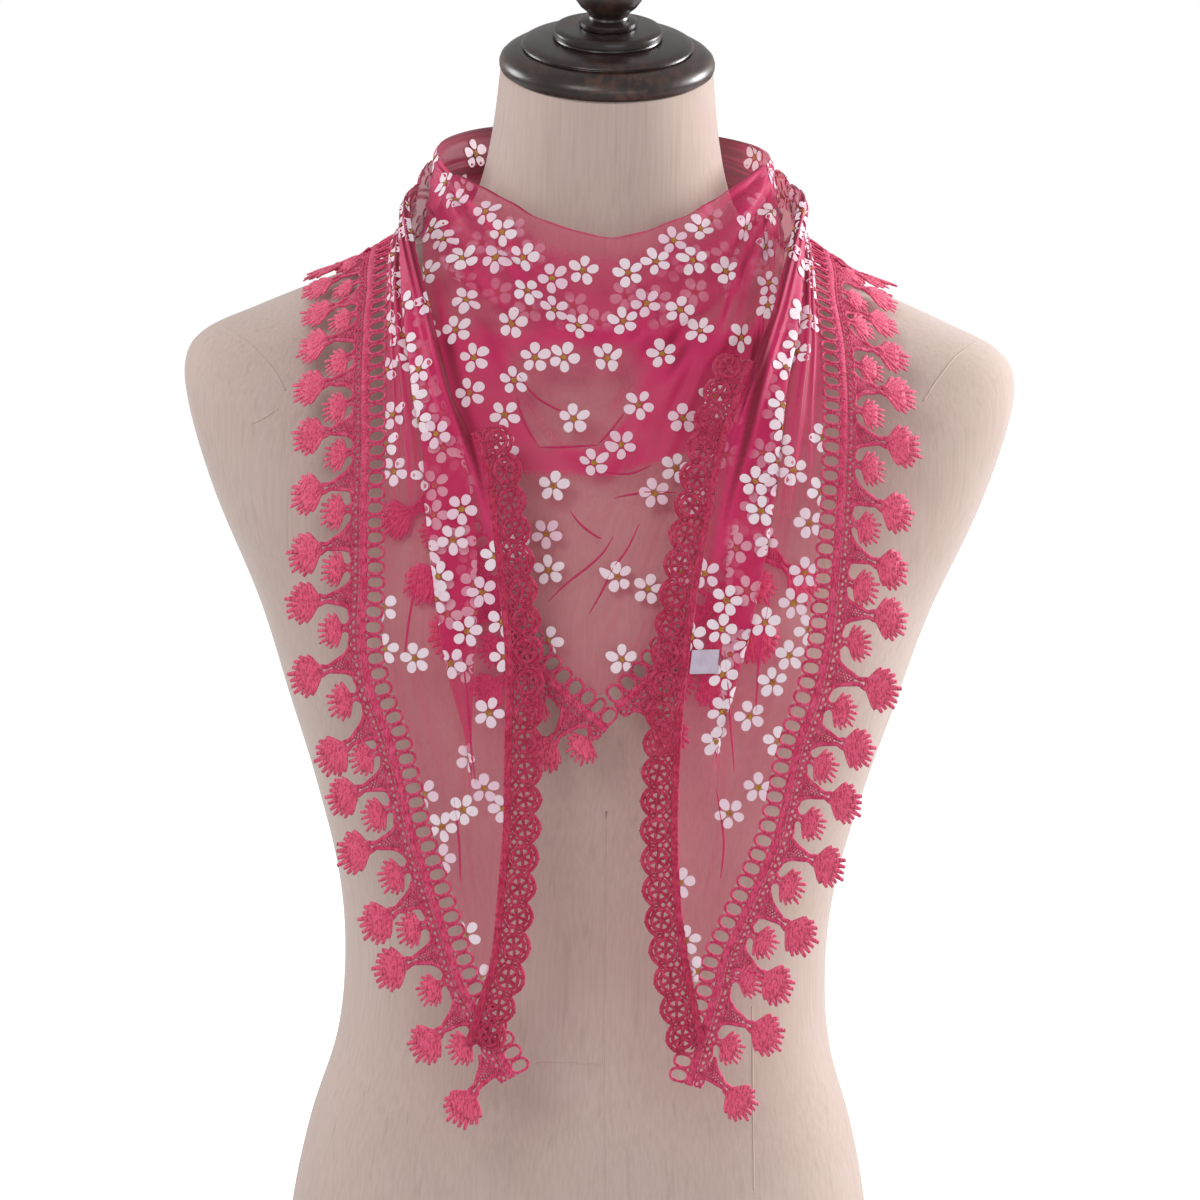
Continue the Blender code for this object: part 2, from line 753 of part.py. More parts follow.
def laid_on(frames, tree):
    """Turn the frames of a border so that it lies along the form, not into it."""
    laid = []
    for point, along, outward, _ in frames:
        spot, normal, _, distance = tree.find_nearest(point)
        dip = outward.dot(normal)
        if dip < 0 and distance < LIE_REACH * MM:
            outward = outward - normal * dip * (1 - distance / LIE_REACH / MM)
            outward = (outward - along * outward.dot(along)).normalized()
        laid.append(Frame(point, along, outward, along.cross(outward)))
    return laid


def frame_at(frames, distance):
    """Return the frame a distance in metres along an edge."""
    walked = 0.0
    for a, b in zip(frames, frames[1:]):
        step = (b.point - a.point).length
        if walked + step >= distance or b is frames[-1]:
            part = (distance - walked) / step
            axes = [p.lerp(q, part).normalized() for p, q in zip(a[1:], b[1:])]
            return Frame(a.point.lerp(b.point, part), *axes)
        walked += step
    return frames[-1]


def edge_length(frames):
    """Return the length of an edge in metres."""
    return sum((b.point - a.point).length for a, b in zip(frames, frames[1:]))


def lace_place(frames, root, aside, out, droop, layers):
    """Return a point of the lace: from a root on the edge, aside along it and out from it."""
    frame = frame_at(frames, root)
    outward = frame.outward
    if droop:
        down = Vector((0, 0, -1))
        down = (down - frame.normal * down.dot(frame.normal)).normalized()
        outward = (outward * math.cos(droop) + down * math.sin(droop)).normalized()
    band = frame.outward * min(out, BAND_EDGE) + outward * max(0, out - BAND_EDGE)
    point = frame.point + (band + frame.along * aside) * MM
    gap = min(LACE_FAR_GAP, LACE_GAP + LACE_SLOPE * out)
    return push_clear(point, [(tree, more + gap, closed) for tree, more, closed in layers])


def leaf_lace(name, frames, layers, start=0.0):
    """Make a leaf lace: a row of rings on a braid, with long and short pendants in turn."""
    length = edge_length(frames) / MM - start
    cells = int(length / RING_PITCH)
    pitch = length / cells
    mesh = bmesh.new()
    bmesh.ops.create_grid(mesh, x_segments=cells, y_segments=1, size=0.5)
    flat = {}
    for vertex in mesh.verts:
        out = SEAM + LACE_WALL / 2 if vertex.co.y < 0 else BAND_EDGE
        flat[vertex] = (start + (vertex.co.x + 0.5) * length, 0.0, out)
        vertex.co = (flat[vertex][0], out, 0)
    solid = set(mesh.verts)
    bmesh.ops.inset_individual(mesh, faces=mesh.faces[:], thickness=RING_RUNG)
    holes = [face for face in mesh.faces if not solid.intersection(face.verts)]
    for vertex in mesh.verts:
        if vertex not in solid:
            out = RING_NEAR if vertex.co.y < BAND_EDGE / 2 else RING_FAR
            flat[vertex] = (vertex.co.x, 0.0, out)
    bmesh.ops.delete(mesh, geom=holes, context="FACES_ONLY")
    outer = [edge for edge in mesh.edges if all(flat[v][2] == BAND_EDGE for v in edge.verts)]
    for edge in outer:
        middle = sum(flat[v][0] for v in edge.verts) / 2
        cell = int((middle - start) / pitch) % RINGS_TO_A_REPEAT
        widths = {LONG_AT: LONG_PENDANT, SHORT_AT: SHORT_PENDANT}.get(cell, ())
        for width in widths:
            made = bmesh.ops.extrude_edge_only(mesh, edges=[edge])["geom"]
            edge = next(part for part in made if isinstance(part, bmesh.types.BMEdge))
            first, second = sorted(edge.verts, key=lambda v: pendant_side(v, flat, middle))
            flat[first] = (middle, -width.half, width.out)
            flat[second] = (middle, width.half, width.out)
    for vertex in mesh.verts:
        root, aside, out = flat[vertex]
        vertex.co = lace_place(frames, root * MM, aside, out, DROOP, layers)
    bmesh.ops.recalc_face_normals(mesh, faces=mesh.faces[:])
    item = add_object(name, mesh, LACE)
    add_wall(item, LACE_WALL)
    return item


def pendant_side(vertex, flat, middle):
    """Tell on which side of a pendant's middle an extruded point starts."""
    for edge in vertex.link_edges:
        other = edge.other_vert(vertex)
        if other in flat:
            return flat[other][0] - middle + flat[other][1]
    return 0.0


def scallop_lace(name, frames, layers, lift_from):
    """Make a scalloped lace, lifted over the leaf lace past a distance along its edge."""
    cells = int(edge_length(frames) / MM / SCALLOP_PITCH) * SCALLOP_STEPS
    pitch = edge_length(frames) / MM / cells
    mesh = bmesh.new()
    bmesh.ops.create_grid(mesh, x_segments=cells, y_segments=1, size=0.5)
    for vertex in mesh.verts:
        step = round((vertex.co.x + 0.5) * cells)
        out = SEAM + LACE_WALL / 2
        if vertex.co.y > 0:
            out = SCALLOP_BASE + SCALLOP_RISES[step % SCALLOP_STEPS]
        walked = step * pitch
        point = lace_place(frames, walked * MM, 0, out, 0, layers)
        lift = SCALLOP_LIFT * min(1, max(0, (walked - lift_from) / SCALLOP_CLIMB))
        vertex.co = point + Vector((0, -lift, 0)) * MM
    item = add_object(name, mesh, LACE)
    add_wall(item, LACE_WALL)
    return item


def build_bib_lace(folded, form_tree):
    """Border the two lower edges of the bib, which meet in a point."""
    layers = [(form_tree, 0, True)]
    middle = BIB_COLUMNS // 2
    hem, above = folded[-1], folded[-2]
    frames = edge_frames(
        hem[BIB_LACE_FROM:middle + 1], above[BIB_LACE_FROM:middle + 1],
        CORNER_RUN * RING_PITCH, plumb=True)
    leaf_lace("lace_bib_left", frames, layers)
    stop = BIB_COLUMNS - BIB_LACE_FROM
    frames = edge_frames(hem[middle:stop], above[middle:stop], 0, plumb=True)
    leaf_lace("lace_bib_right", frames, layers, CORNER_START)


def lace_sheet(frames):
    """Return a search tree of the strip that a leaf lace covers."""
    strip = [[frame.point, frame.point + frame.outward * LONG_PENDANT[-1].out * MM]
             for frame in frames]
    return sheet_tree(strip)


def build_borders(border, form_tree, layers):
    """Border a tail: leaf lace on from the swath behind, and scallops on the inner edge."""
    behind = border.swath[border.leaf_from:-1]
    outer = [line[-1] for line in behind] + [line[0] for line in border.tail]
    inside = [line[-2] for line in behind] + [line[1] for line in border.tail]
    frames = laid_on(edge_frames(outer, inside, TIP_RUN * RING_PITCH), form_tree)
    leaf_lace("lace_" + border.side, frames, [(form_tree, 0, True)] + layers)
    free = border.tail[border.scallop_from:]
    ends = edge_frames([line[-1] for line in free], [line[-3] for line in free], SCALLOP_RUN)
    lift_from = edge_length(ends) / MM - SCALLOP_RISE
    scallop_lace("scallop_" + border.side, ends, [(form_tree, 0, True)], lift_from)
    return frames


def build_label(grid):
    """Make the small blank label behind the right tail, at its scalloped edge."""
    label = []
    for drop in (0, LABEL_HEIGHT / 2, LABEL_HEIGHT):
        level = (LABEL_TOP - drop) * MM
        row = next(i for i, line in enumerate(grid) if line[-1].z < level)
        high, low = grid[row - 1], grid[row]
        part = (high[-1].z - level) / (high[-1].z - low[-1].z)
        section = [[a.lerp(b, part)] for a, b in zip(reversed(high), reversed(low))]
        backs = [[Vector((0, -1, 0))] for _ in section]
        line = []
        for aside in (LABEL_IN, LABEL_IN + LABEL_WIDTH / 2, LABEL_IN + LABEL_WIDTH):
            point, front = follow(section, 0, aside * MM, backs)
            line.append(point - front * LABEL_BEHIND * MM)
        label.append(line)
    build_sheet("label", label, SATIN, WALL)


def main():
    """Build the form, then the shawl from the innermost stretch outwards."""
    for item in list(bpy.data.objects):
        bpy.data.objects.remove(item)
    collection = bpy.data.collections.new("lace_shawl")
    bpy.context.scene.collection.children.link(collection)

    _, form_tree = build_form()
    turned_piece("neck_cap", CAP_PROFILE, SEAM)
    turned_piece("cap_knob", KNOB_PROFILE, CAP_PROFILE[0].height + 2 * SEAM)

    on_form = (form_tree, CLOTH_GAP, True)
    over = BAND_HEIGHT + WALL + FACET_ROOM
    bib, bib_folded = build_bib(form_tree)
    left_side, right_side = [line[0] for line in bib_folded], [line[-1] for line in bib_folded]
    turn_left, end_left = build_band(
        "turn_left", TURN_LEFT, TURN_SIZE, TURN_FOLDS, [on_form], left_side)
    turn_right, end_right = build_band(
        "turn_right", TURN_RIGHT, TURN_SIZE, TURN_FOLDS, [on_form], right_side)
    on_left, on_right = (sheet_tree(turn_left), over, False), (sheet_tree(turn_right), over, False)
    under, under_folded = build_band(
        "cross_under", CROSS_UNDER, CROSS_SIZE, CROSS_FOLDS, [on_form, on_right], end_left[-1])
    on_under = (sheet_tree(under), over, False)
    _, over_folded = build_band(
        "cross_over", CROSS_OVER, CROSS_SIZE, CROSS_FOLDS, [on_form, on_left, on_under],
        end_right[-1])

    on_bib = (sheet_tree(bib), SWAG_HEIGHT + WALL + FACET_ROOM, False)
    off_form = (form_tree, TAIL_GAP, True)
    left_folded = build_tail("tail_left", TAIL_LEFT, [off_form, on_bib, on_left])
    right_folded = build_tail("tail_right", TAIL_RIGHT, [off_form, on_bib, on_right])
    build_label(right_folded)

    build_bib_lace(bib_folded, form_tree)
    right = Border("right", right_folded, under_folded, UNDER_LACE_FROM, SCALLOP_RIGHT_FROM)
    under_lace = build_borders(right, form_tree, [])
    beneath = [on_under, (lace_sheet(under_lace[:LACE_CROSSING]), LACE_OVER, False)]
    left = Border("left", left_folded, over_folded, OVER_LACE_FROM, SCALLOP_LEFT_FROM)
    build_borders(left, form_tree, beneath)



main()
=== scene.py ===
"""The looks of a sheer triangular lace shawl on a linen dress form.

The cloth is laid on the form from tables, as open sheets with a print of small
flowers.  Leaf lace and scalloped lace are stitched from cords.  Tables are in
millimetres: +X is the viewer's right, -Y the front and +Z up.
"""

import logging
import math
import random
from dataclasses import dataclass, field
from enum import Enum
from typing import Callable, Iterable, Sequence

import bmesh
import bpy
import numpy as np
from bmesh.types import BMesh
from bpy.types import ID, Material, Mesh, Node, NodeSocket, NodeTree, Object
from mathutils import Matrix, Vector
from mathutils.bvhtree import BVHTree


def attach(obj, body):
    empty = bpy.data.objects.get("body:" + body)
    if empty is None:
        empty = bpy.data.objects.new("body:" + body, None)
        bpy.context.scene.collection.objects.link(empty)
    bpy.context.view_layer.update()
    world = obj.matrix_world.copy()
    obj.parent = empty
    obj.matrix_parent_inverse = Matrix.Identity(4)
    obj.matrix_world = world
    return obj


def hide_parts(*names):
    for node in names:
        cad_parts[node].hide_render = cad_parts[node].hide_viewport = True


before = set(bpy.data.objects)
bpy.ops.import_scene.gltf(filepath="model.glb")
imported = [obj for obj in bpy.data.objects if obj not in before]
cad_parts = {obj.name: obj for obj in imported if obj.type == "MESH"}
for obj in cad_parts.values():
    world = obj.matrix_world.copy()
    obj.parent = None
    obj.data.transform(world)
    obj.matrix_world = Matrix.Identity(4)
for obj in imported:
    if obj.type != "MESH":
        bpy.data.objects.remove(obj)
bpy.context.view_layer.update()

LOG = logging.getLogger("lace_shawl")
MM = 0.001
Colour = tuple[float, float, float, float]
Layer = tuple[BVHTree, float, bool]      # a surface, the gap over it, and whether it is closed


class Slot(Enum):
    """The record's material slots."""

    LINEN = "linen"
    WOOD = "dark_wood"
    SHEER = "sheer_pink"
    LACE = "pink_lace"
    SATIN = "white_satin"


class Held(Enum):
    """How a sheet is held."""

    DRAPED = "draped"
    HUNG = "hung"


# ---------------------------------------------------------------- finishes


class Nodes:
    """A node tree with short ways to add and join nodes."""

    def __init__(self, tree: NodeTree) -> None:
        """Keep the tree that the nodes go into."""
        self.tree = tree

    def put(self, value: object, socket: NodeSocket) -> None:
        """Set a socket to a constant, or link another socket to it."""
        if isinstance(value, NodeSocket):
            self.tree.links.new(value, socket)
        else:
            socket.default_value = value

    def add(self, kind: str, inputs: dict | None = None, **settings) -> Node:
        """Add a node.

        Args:
            kind: Its type, without the leading ShaderNode.
            inputs: A constant or a socket for each input, by name or number.
            settings: Properties of the node.

        Returns:
            The new node.
        """
        node = self.tree.nodes.new("ShaderNode" + kind)
        for name, value in settings.items():
            setattr(node, name, value)
        for name, value in (inputs or {}).items():
            self.put(value, node.inputs[name])
        return node

    def math(self, operation: str, *values: object) -> NodeSocket:
        """Return the result of a Math node on constants or sockets."""
        return self.add("Math", dict(enumerate(values)), operation=operation).outputs[0]

    def noise(self, vector: object, scale: object, detail: float) -> NodeSocket:
        """Return the value of a noise texture at a place."""
        inputs = {"Vector": vector, "Scale": scale, "Detail": detail}
        return self.add("TexNoise", inputs).outputs["Fac"]

    def spread(self, value: object, low: float, high: float,
               to_low: float = 0.0, to_high: float = 1.0) -> NodeSocket:
        """Return a value taken smoothly from one range to another."""
        items = dict(enumerate((value, low, high, to_low, to_high)))
        return self.add("MapRange", items, interpolation_type="SMOOTHSTEP").outputs["Result"]

    def mix(self, factor: object, first: object, second: object) -> NodeSocket:
        """Return a mix of two colours."""
        return self.add("Mix", {0: factor, 6: first, 7: second}, data_type="RGBA").outputs[2]

    def tint(self, mask: object, share: float, first: object, second: object) -> NodeSocket:
        """Return a colour that takes up a share of a second one where a mask is 1."""
        return self.mix(self.math("MULTIPLY", mask, share), first, second)

    def group(self, tree: NodeTree, **inputs: object) -> bpy.types.bpy_prop_collection:
        """Place a shared group with its own values; return its outputs."""
        return self.add("Group", inputs, node_tree=tree).outputs

    def mottle(self, place: object, scale: float) -> NodeSocket:
        """Return a soft change of tone over a surface."""
        return self.group(soft_mottle(), Vector=place, Scale=scale)["Tone"]

    def bump(self, height: object, strength: float, distance: float) -> NodeSocket:
        """Return the normal of a relief whose height is in millimetres of the distance."""
        return self.add("Bump", {"Height": height, "Strength": strength,
                                 "Distance": distance * MM}).outputs["Normal"]

    def place(self) -> NodeSocket:
        """Return the place on the object."""
        return self.add("TexCoord").outputs["Object"]

    def cut(self) -> NodeSocket:
        """Return the place on the cloth as it was cut, in metres."""
        return self.add("UVMap", uv_map="cut").outputs["UV"]

    def attribute(self, name: str) -> NodeSocket:
        """Return a value that the mesh carries."""
        return self.add("Attribute", attribute_name=name).outputs["Fac"]

    def ray(self, kind: str) -> NodeSocket:
        """Return whether the light's path is of a kind."""
        return self.add("LightPath").outputs[kind]


def shared_group(name: str, inputs: Sequence[str], outputs: Sequence[str],
                 build: Callable[[Nodes, dict], dict]) -> NodeTree:
    """Make a node group once.

    Args:
        name: The group's name.
        inputs: Names of its inputs, of which Vector is a vector and the rest are values.
        outputs: Names of its values.
        build: Adds the nodes; takes the inputs' sockets and returns the outputs' ones.

    Returns:
        The group's node tree.
    """
    if name in bpy.data.node_groups:
        return bpy.data.node_groups[name]
    tree = bpy.data.node_groups.new(name, "ShaderNodeTree")
    for way, items in (("INPUT", inputs), ("OUTPUT", outputs)):
        for item in items:
            kind = "NodeSocketVector" if item == "Vector" else "NodeSocketFloat"
            tree.interface.new_socket(name=item, in_out=way, socket_type=kind)
    given, result = tree.nodes.new("NodeGroupInput"), tree.nodes.new("NodeGroupOutput")
    made = build(Nodes(tree), {item: given.outputs[item] for item in inputs})
    for item in outputs:
        tree.links.new(made[item], result.inputs[item])
    return tree


def slubbed_weave() -> NodeTree:
    """Return the group of crossing threads, thicker here and thinner there."""
    def build(nodes: Nodes, given: dict) -> dict:
        """Lay long noise along each of two directions."""
        threads = []
        for stretch in ((1, 1, 0.03), (0.03, 0.03, 1)):
            long = nodes.add("VectorMath", {0: given["Vector"], 1: stretch}, operation="MULTIPLY")
            threads.append(nodes.noise(long.outputs[0], given["Fineness"], 3.0))
        return {"Height": nodes.math("MAXIMUM", *threads), "Tone": threads[0]}
    return shared_group("slubbed_weave", ("Vector", "Fineness"), ("Height", "Tone"), build)


def twisted_thread() -> NodeTree:
    """Return the group of stitched thread: short slanting strands with dark gaps."""
    def build(nodes: Nodes, given: dict) -> dict:
        """Cross two slanting sets of strands."""
        strands = []
        for turn in (0.7, -0.9):
            way = nodes.add("Mapping", {"Vector": given["Vector"], "Rotation": (0, turn, turn / 2),
                                        "Scale": (1, 1, 0.28)})
            strands.append(nodes.noise(way.outputs["Vector"], given["Fineness"], 1.0))
        height = nodes.math("MAXIMUM", *strands)
        return {"Height": height, "Gap": nodes.spread(height, 0.62, 0.42)}
    return shared_group("twisted_thread", ("Vector", "Fineness"), ("Height", "Gap"), build)


def soft_mottle() -> NodeTree:
    """Return the group of a soft change of tone over a surface."""
    def build(nodes: Nodes, given: dict) -> dict:
        """Even out a slow noise."""
        return {"Tone": nodes.spread(nodes.noise(given["Vector"], given["Scale"], 3.0), 0.3, 0.7)}
    return shared_group("soft_mottle", ("Vector", "Scale"), ("Tone",), build)


class Finish:
    """A finish; each kind says what its Principled shader takes."""

    name: str

    def inputs(self, nodes: Nodes) -> dict:
        """Return the shader's inputs by name."""
        raise NotImplementedError

    def material(self) -> Material:
        """Make the material."""
        made = bpy.data.materials.new(self.name)
        made.use_nodes = True
        nodes = Nodes(made.node_tree)
        shader = made.node_tree.nodes["Principled BSDF"]
        for name, value in self.inputs(nodes).items():
            nodes.put(value, shader.inputs[name])
        return made


@dataclass(frozen=True)
class SheerCloth(Finish):
    """Sheer woven organza; its gathers attribute says how dense it lies, and where densest it turns
    dark red with painted shade.
    """

    name: str = "organza"
    colour: Colour = (0.70, 0.024, 0.145, 1)
    deep_shade: Colour = (0.21, 0.002, 0.022, 1)
    opacity: float = 0.34
    fineness: float = 900.0

    def inputs(self, nodes: Nodes) -> dict:
        """Return the shader's inputs; alpha follows the density, and the shadow is pale."""
        weave = nodes.group(slubbed_weave(), Vector=nodes.place(), Fineness=self.fineness)
        density = nodes.attribute("gathers")
        thick = nodes.math("MULTIPLY_ADD", weave["Tone"], 0.16, 0.92)
        solid = nodes.math("MULTIPLY", nodes.math("MULTIPLY", density, thick), self.opacity)
        # Past a density of 2.4 the colour turns to deep_shade: partly the deeper colour of stacked
        # layers, partly painted shade in laps, deep folds and shadow strips.
        colour = nodes.mix(nodes.spread(density, 2.4, 4.4, 0.0, 0.95), self.colour, self.deep_shade)
        through = nodes.math("MULTIPLY_ADD", nodes.ray("Is Shadow Ray"), -0.6, 1.0)
        return {
            # The mottle also tints the cloth a little towards the painted shade colour.
            "Base Color": nodes.tint(nodes.mottle(nodes.cut(), 40.0), 0.12, colour, self.deep_shade),
            "Roughness": 0.6, "Sheen Weight": 0.35, "Sheen Roughness": 0.4,
            "Sheen Tint": (1.0, 0.55, 0.70, 1), "Specular IOR Level": 0.3,
            "Alpha": nodes.math("MULTIPLY", nodes.math("MINIMUM", solid, 0.96), through),
            "Normal": nodes.bump(weave["Height"], 0.3, 0.2)}


@dataclass(frozen=True)
class PrintedInk(Finish):
    """Pigment print: pale petals with a mustard middle."""

    name: str = "flower_print"
    petal: Colour = (0.93, 0.80, 0.86, 1)
    blush: Colour = (0.86, 0.56, 0.68, 1)
    middle: Colour = (0.50, 0.27, 0.030, 1)
    rust: Colour = (0.30, 0.07, 0.035, 1)

    def inputs(self, nodes: Nodes) -> dict:
        """Return the shader's inputs."""
        place = nodes.place()
        grain = nodes.group(twisted_thread(), Vector=place, Fineness=1500.0)
        petal = nodes.tint(nodes.attribute("blush"), 0.9, self.petal, self.blush)
        petal = nodes.tint(grain["Gap"], 0.25, petal, self.blush)
        middle = nodes.tint(nodes.mottle(place, 700.0), 0.8, self.middle, self.rust)
        return {
            "Base Color": nodes.mix(nodes.attribute("middle"), petal, middle),
            "Roughness": 0.7, "Specular IOR Level": 0.3,
            "Normal": nodes.bump(grain["Height"], 0.3, 0.15)}


@dataclass(frozen=True)
class GuipureThread(Finish):
    """Matt cotton thread, stitched close, painted shade between strands; satin long stitches are
    smoother, with a painted sheen.
    """

    name: str = "guipure_thread"
    colour: Colour = (0.70, 0.052, 0.150, 1)
    bright: Colour = (0.90, 0.150, 0.285, 1)
    deep_shade: Colour = (0.36, 0.010, 0.045, 1)
    painted_sheen: Colour = (1.0, 0.155, 0.275, 1)
    fineness: float = 1500.0

    def inputs(self, nodes: Nodes) -> dict:
        """Return the shader's inputs."""
        place, satin = nodes.place(), nodes.attribute("satin")
        thread = nodes.group(twisted_thread(), Vector=place, Fineness=self.fineness)
        colour = nodes.tint(nodes.mottle(place, 260.0), 0.62, self.colour, self.bright)
        # Where the stitches are satin, the colour is lifted towards painted_sheen: a painted
        # highlight.
        colour = nodes.tint(satin, 0.65, colour, self.painted_sheen)
        return {
            # The gaps between strands take deep_shade: painted shade in the thread's grooves.
            "Base Color": nodes.tint(thread["Gap"], 0.62, colour, self.deep_shade),
            "Roughness": nodes.math("MULTIPLY_ADD", satin, -0.2, 0.8),
            "Sheen Weight": 0.3, "Sheen Roughness": 0.5,
            "Sheen Tint": (1.0, 0.6, 0.75, 1), "Specular IOR Level": 0.25,
            "Normal": nodes.bump(thread["Height"], 0.9, 0.6)}


@dataclass(frozen=True)
class LinenCover(Finish):
    """Natural linen, drawn tight."""

    name: str = "linen_cover"
    colour: Colour = (0.590, 0.460, 0.405, 1)
    pale: Colour = (0.670, 0.560, 0.510, 1)
    slub: Colour = (0.430, 0.325, 0.275, 1)
    fineness: float = 750.0

    def inputs(self, nodes: Nodes) -> dict:
        """Return the shader's inputs."""
        place = nodes.place()
        weave, coarse = (nodes.group(slubbed_weave(), Vector=place, Fineness=fineness)
                         for fineness in (self.fineness, self.fineness / 2.6))
        colour = nodes.tint(nodes.mottle(place, 14.0), 0.3, self.colour, self.pale)
        colour = nodes.mix(nodes.spread(coarse["Tone"], 0.56, 0.74, 0.0, 0.36), colour, self.slub)
        colour = nodes.mix(nodes.spread(weave["Tone"], 0.35, 0.65, 0.0, 0.22), colour, self.slub)
        height = nodes.math("ADD", weave["Height"], coarse["Height"])
        return {
            "Base Color": colour, "Roughness": 0.9, "Sheen Weight": 0.4, "Sheen Roughness": 0.35,
            "Specular IOR Level": 0.2, "Normal": nodes.bump(height, 0.35, 0.25)}


@dataclass(frozen=True)
class TurnedWood(Finish):
    """Dark stained wood under a satin varnish."""

    name: str = "turned_wood"
    dark: Colour = (0.020, 0.011, 0.010, 1)
    warm: Colour = (0.085, 0.032, 0.020, 1)

    def inputs(self, nodes: Nodes) -> dict:
        """Return the shader's inputs."""
        place = nodes.place()
        grain = nodes.add("Mapping", {"Vector": place, "Scale": (1, 0.16, 1)}).outputs["Vector"]
        grain, mottle = nodes.noise(grain, 260.0, 4.0), nodes.mottle(place, 22.0)
        tone = nodes.math("MULTIPLY", nodes.spread(grain, 0.35, 0.68), mottle)
        return {
            "Base Color": nodes.mix(tone, self.dark, self.warm),
            "Roughness": nodes.spread(mottle, 0.0, 1.0, 0.30, 0.44),
            "Coat Weight": 0.35, "Coat Roughness": 0.22, "Normal": nodes.bump(grain, 0.25, 0.2)}


@dataclass(frozen=True)
class SatinTape(Finish):
    """White satin tape."""

    name: str = "satin_tape"
    colour: Colour = (0.62, 0.53, 0.64, 1)
    shade: Colour = (0.50, 0.38, 0.52, 1)

    def inputs(self, nodes: Nodes) -> dict:
        """Return the shader's inputs."""
        place = nodes.place()
        weave = nodes.group(slubbed_weave(), Vector=place, Fineness=1600.0)
        return {
            "Base Color": nodes.tint(nodes.mottle(place, 300.0), 0.5, self.colour, self.shade),
            "Roughness": 0.35, "Sheen Weight": 0.3, "Normal": nodes.bump(weave["Height"], 0.4, 0.1)}


@dataclass(frozen=True)
class StudioPaper(Finish):
    """White paper that glows a little, so that it stays plain behind the part."""

    name: str = "studio_paper"
    colour: Colour = (0.46, 0.46, 0.46, 1)
    pale: Colour = (0.50, 0.50, 0.50, 1)
    unseen: Colour = (0.06, 0.06, 0.06, 1)
    glow: float = 0.82

    def inputs(self, nodes: Nodes) -> dict:
        """Return the shader's inputs; it glows for the camera more than on the part."""
        return {
            "Base Color": nodes.tint(nodes.mottle(nodes.place(), 3.0), 0.1, self.colour, self.pale),
            "Roughness": 0.95, "Specular IOR Level": 0.0,
            "Emission Color": nodes.mix(nodes.ray("Is Camera Ray"), self.unseen, (1, 1, 1, 1)),
            "Emission Strength": self.glow}


# ---------------------------------------------------------------- shared geometry


def smooth_rows(rows: np.ndarray, places: np.ndarray) -> np.ndarray:
    """Return the rows of an array at fractional places, on smooth curves through its rows."""
    last = len(rows) - 1
    index = np.clip(places.astype(int), 0, last - 1)
    part = (places - index).reshape((-1,) + (1,) * (rows.ndim - 1))
    a, b = rows[np.maximum(index - 1, 0)], rows[index]
    c, d = rows[index + 1], rows[np.minimum(index + 2, last)]
    bend = (2 * a - 5 * b + 4 * c - d) * part ** 2 + (3 * b - a - 3 * c + d) * part ** 3
    return b + 0.5 * ((c - a) * part + bend)


def bend_through(points: Sequence, steps: int) -> np.ndarray:
    """Return points at even steps on a smooth curve through others."""
    return smooth_rows(np.asarray(points, float), np.linspace(0, len(points) - 1, steps))


def refine(grid: np.ndarray, rows_by: int, columns_by: int) -> np.ndarray:
    """Return a grid with its steps divided, on smooth curves both ways."""
    down = bend_through(grid, (len(grid) - 1) * rows_by + 1)
    return bend_through(down.swapaxes(0, 1), (grid.shape[1] - 1) * columns_by + 1).swapaxes(0, 1)


def bump(distance: np.ndarray | float) -> np.ndarray:
    """Return a smooth hump: 1 at 0, and 0 from 1 outwards."""
    near = np.abs(distance) < 1
    return np.where(near, 0.5 + 0.5 * np.cos(np.pi * np.asarray(distance, float)), 0.0)


def ease(value: np.ndarray | float, low: float, high: float) -> np.ndarray:
    """Return a smooth step from 0 at low to 1 at high."""
    part = np.clip((np.asarray(value, float) - low) / (high - low), 0, 1)
    return part * part * (3 - 2 * part)


def unit(vectors: np.ndarray) -> np.ndarray:
    """Return vectors of length 1."""
    return vectors / np.maximum(np.linalg.norm(vectors, axis=-1, keepdims=True), 1e-12)


def circle(count: int) -> np.ndarray:
    """Return angles at even steps round a circle."""
    return 2 * np.pi * np.arange(count) / count


def squared(wave: np.ndarray, power: float) -> np.ndarray:
    """Return a wave between -1 and 1 with its size raised to a power."""
    return np.sign(wave) * np.abs(wave) ** power


def slopes(points: np.ndarray, axis: int) -> np.ndarray:
    """Return the difference between each point's neighbours along an axis."""
    padded = np.concatenate([points.take([0], axis), points, points.take([-1], axis)], axis)
    count = points.shape[axis]
    return padded.take(range(2, count + 2), axis) - padded.take(range(count), axis)


def with_ends(rows: np.ndarray) -> np.ndarray:
    """Return rows with the first and the last one doubled."""
    return np.pad(rows, ((1, 1), (0, 0)), mode="edge")


def around(grid: np.ndarray) -> np.ndarray:
    """Return the sum of the four neighbours of each point in a grid."""
    padded = np.pad(grid, ((1, 1), (1, 1), (0, 0)), mode="edge")
    return padded[:-2, 1:-1] + padded[2:, 1:-1] + padded[1:-1, :-2] + padded[1:-1, 2:]


def shares_of(grid: np.ndarray) -> tuple[np.ndarray, np.ndarray]:
    """Return how far along a grid and how far across it its points lie, from 0 to 1."""
    return np.linspace(0, 1, len(grid))[:, None], np.linspace(0, 1, grid.shape[1])[None]


def lengths_along(points: np.ndarray, axis: int) -> np.ndarray:
    """Return the length walked to each point along an axis."""
    steps = np.linalg.norm(np.diff(points, axis=axis), axis=-1)
    start = np.zeros_like(steps.take([0], axis))
    return np.cumsum(np.concatenate([start, steps], axis), axis)


def points_at(lengths: np.ndarray, walked: np.ndarray, points: np.ndarray) -> np.ndarray:
    """Return the points at some lengths along a line, whose own points lie at those walked."""
    return np.stack([np.interp(lengths, walked, points[:, k]) for k in range(3)], axis=-1)


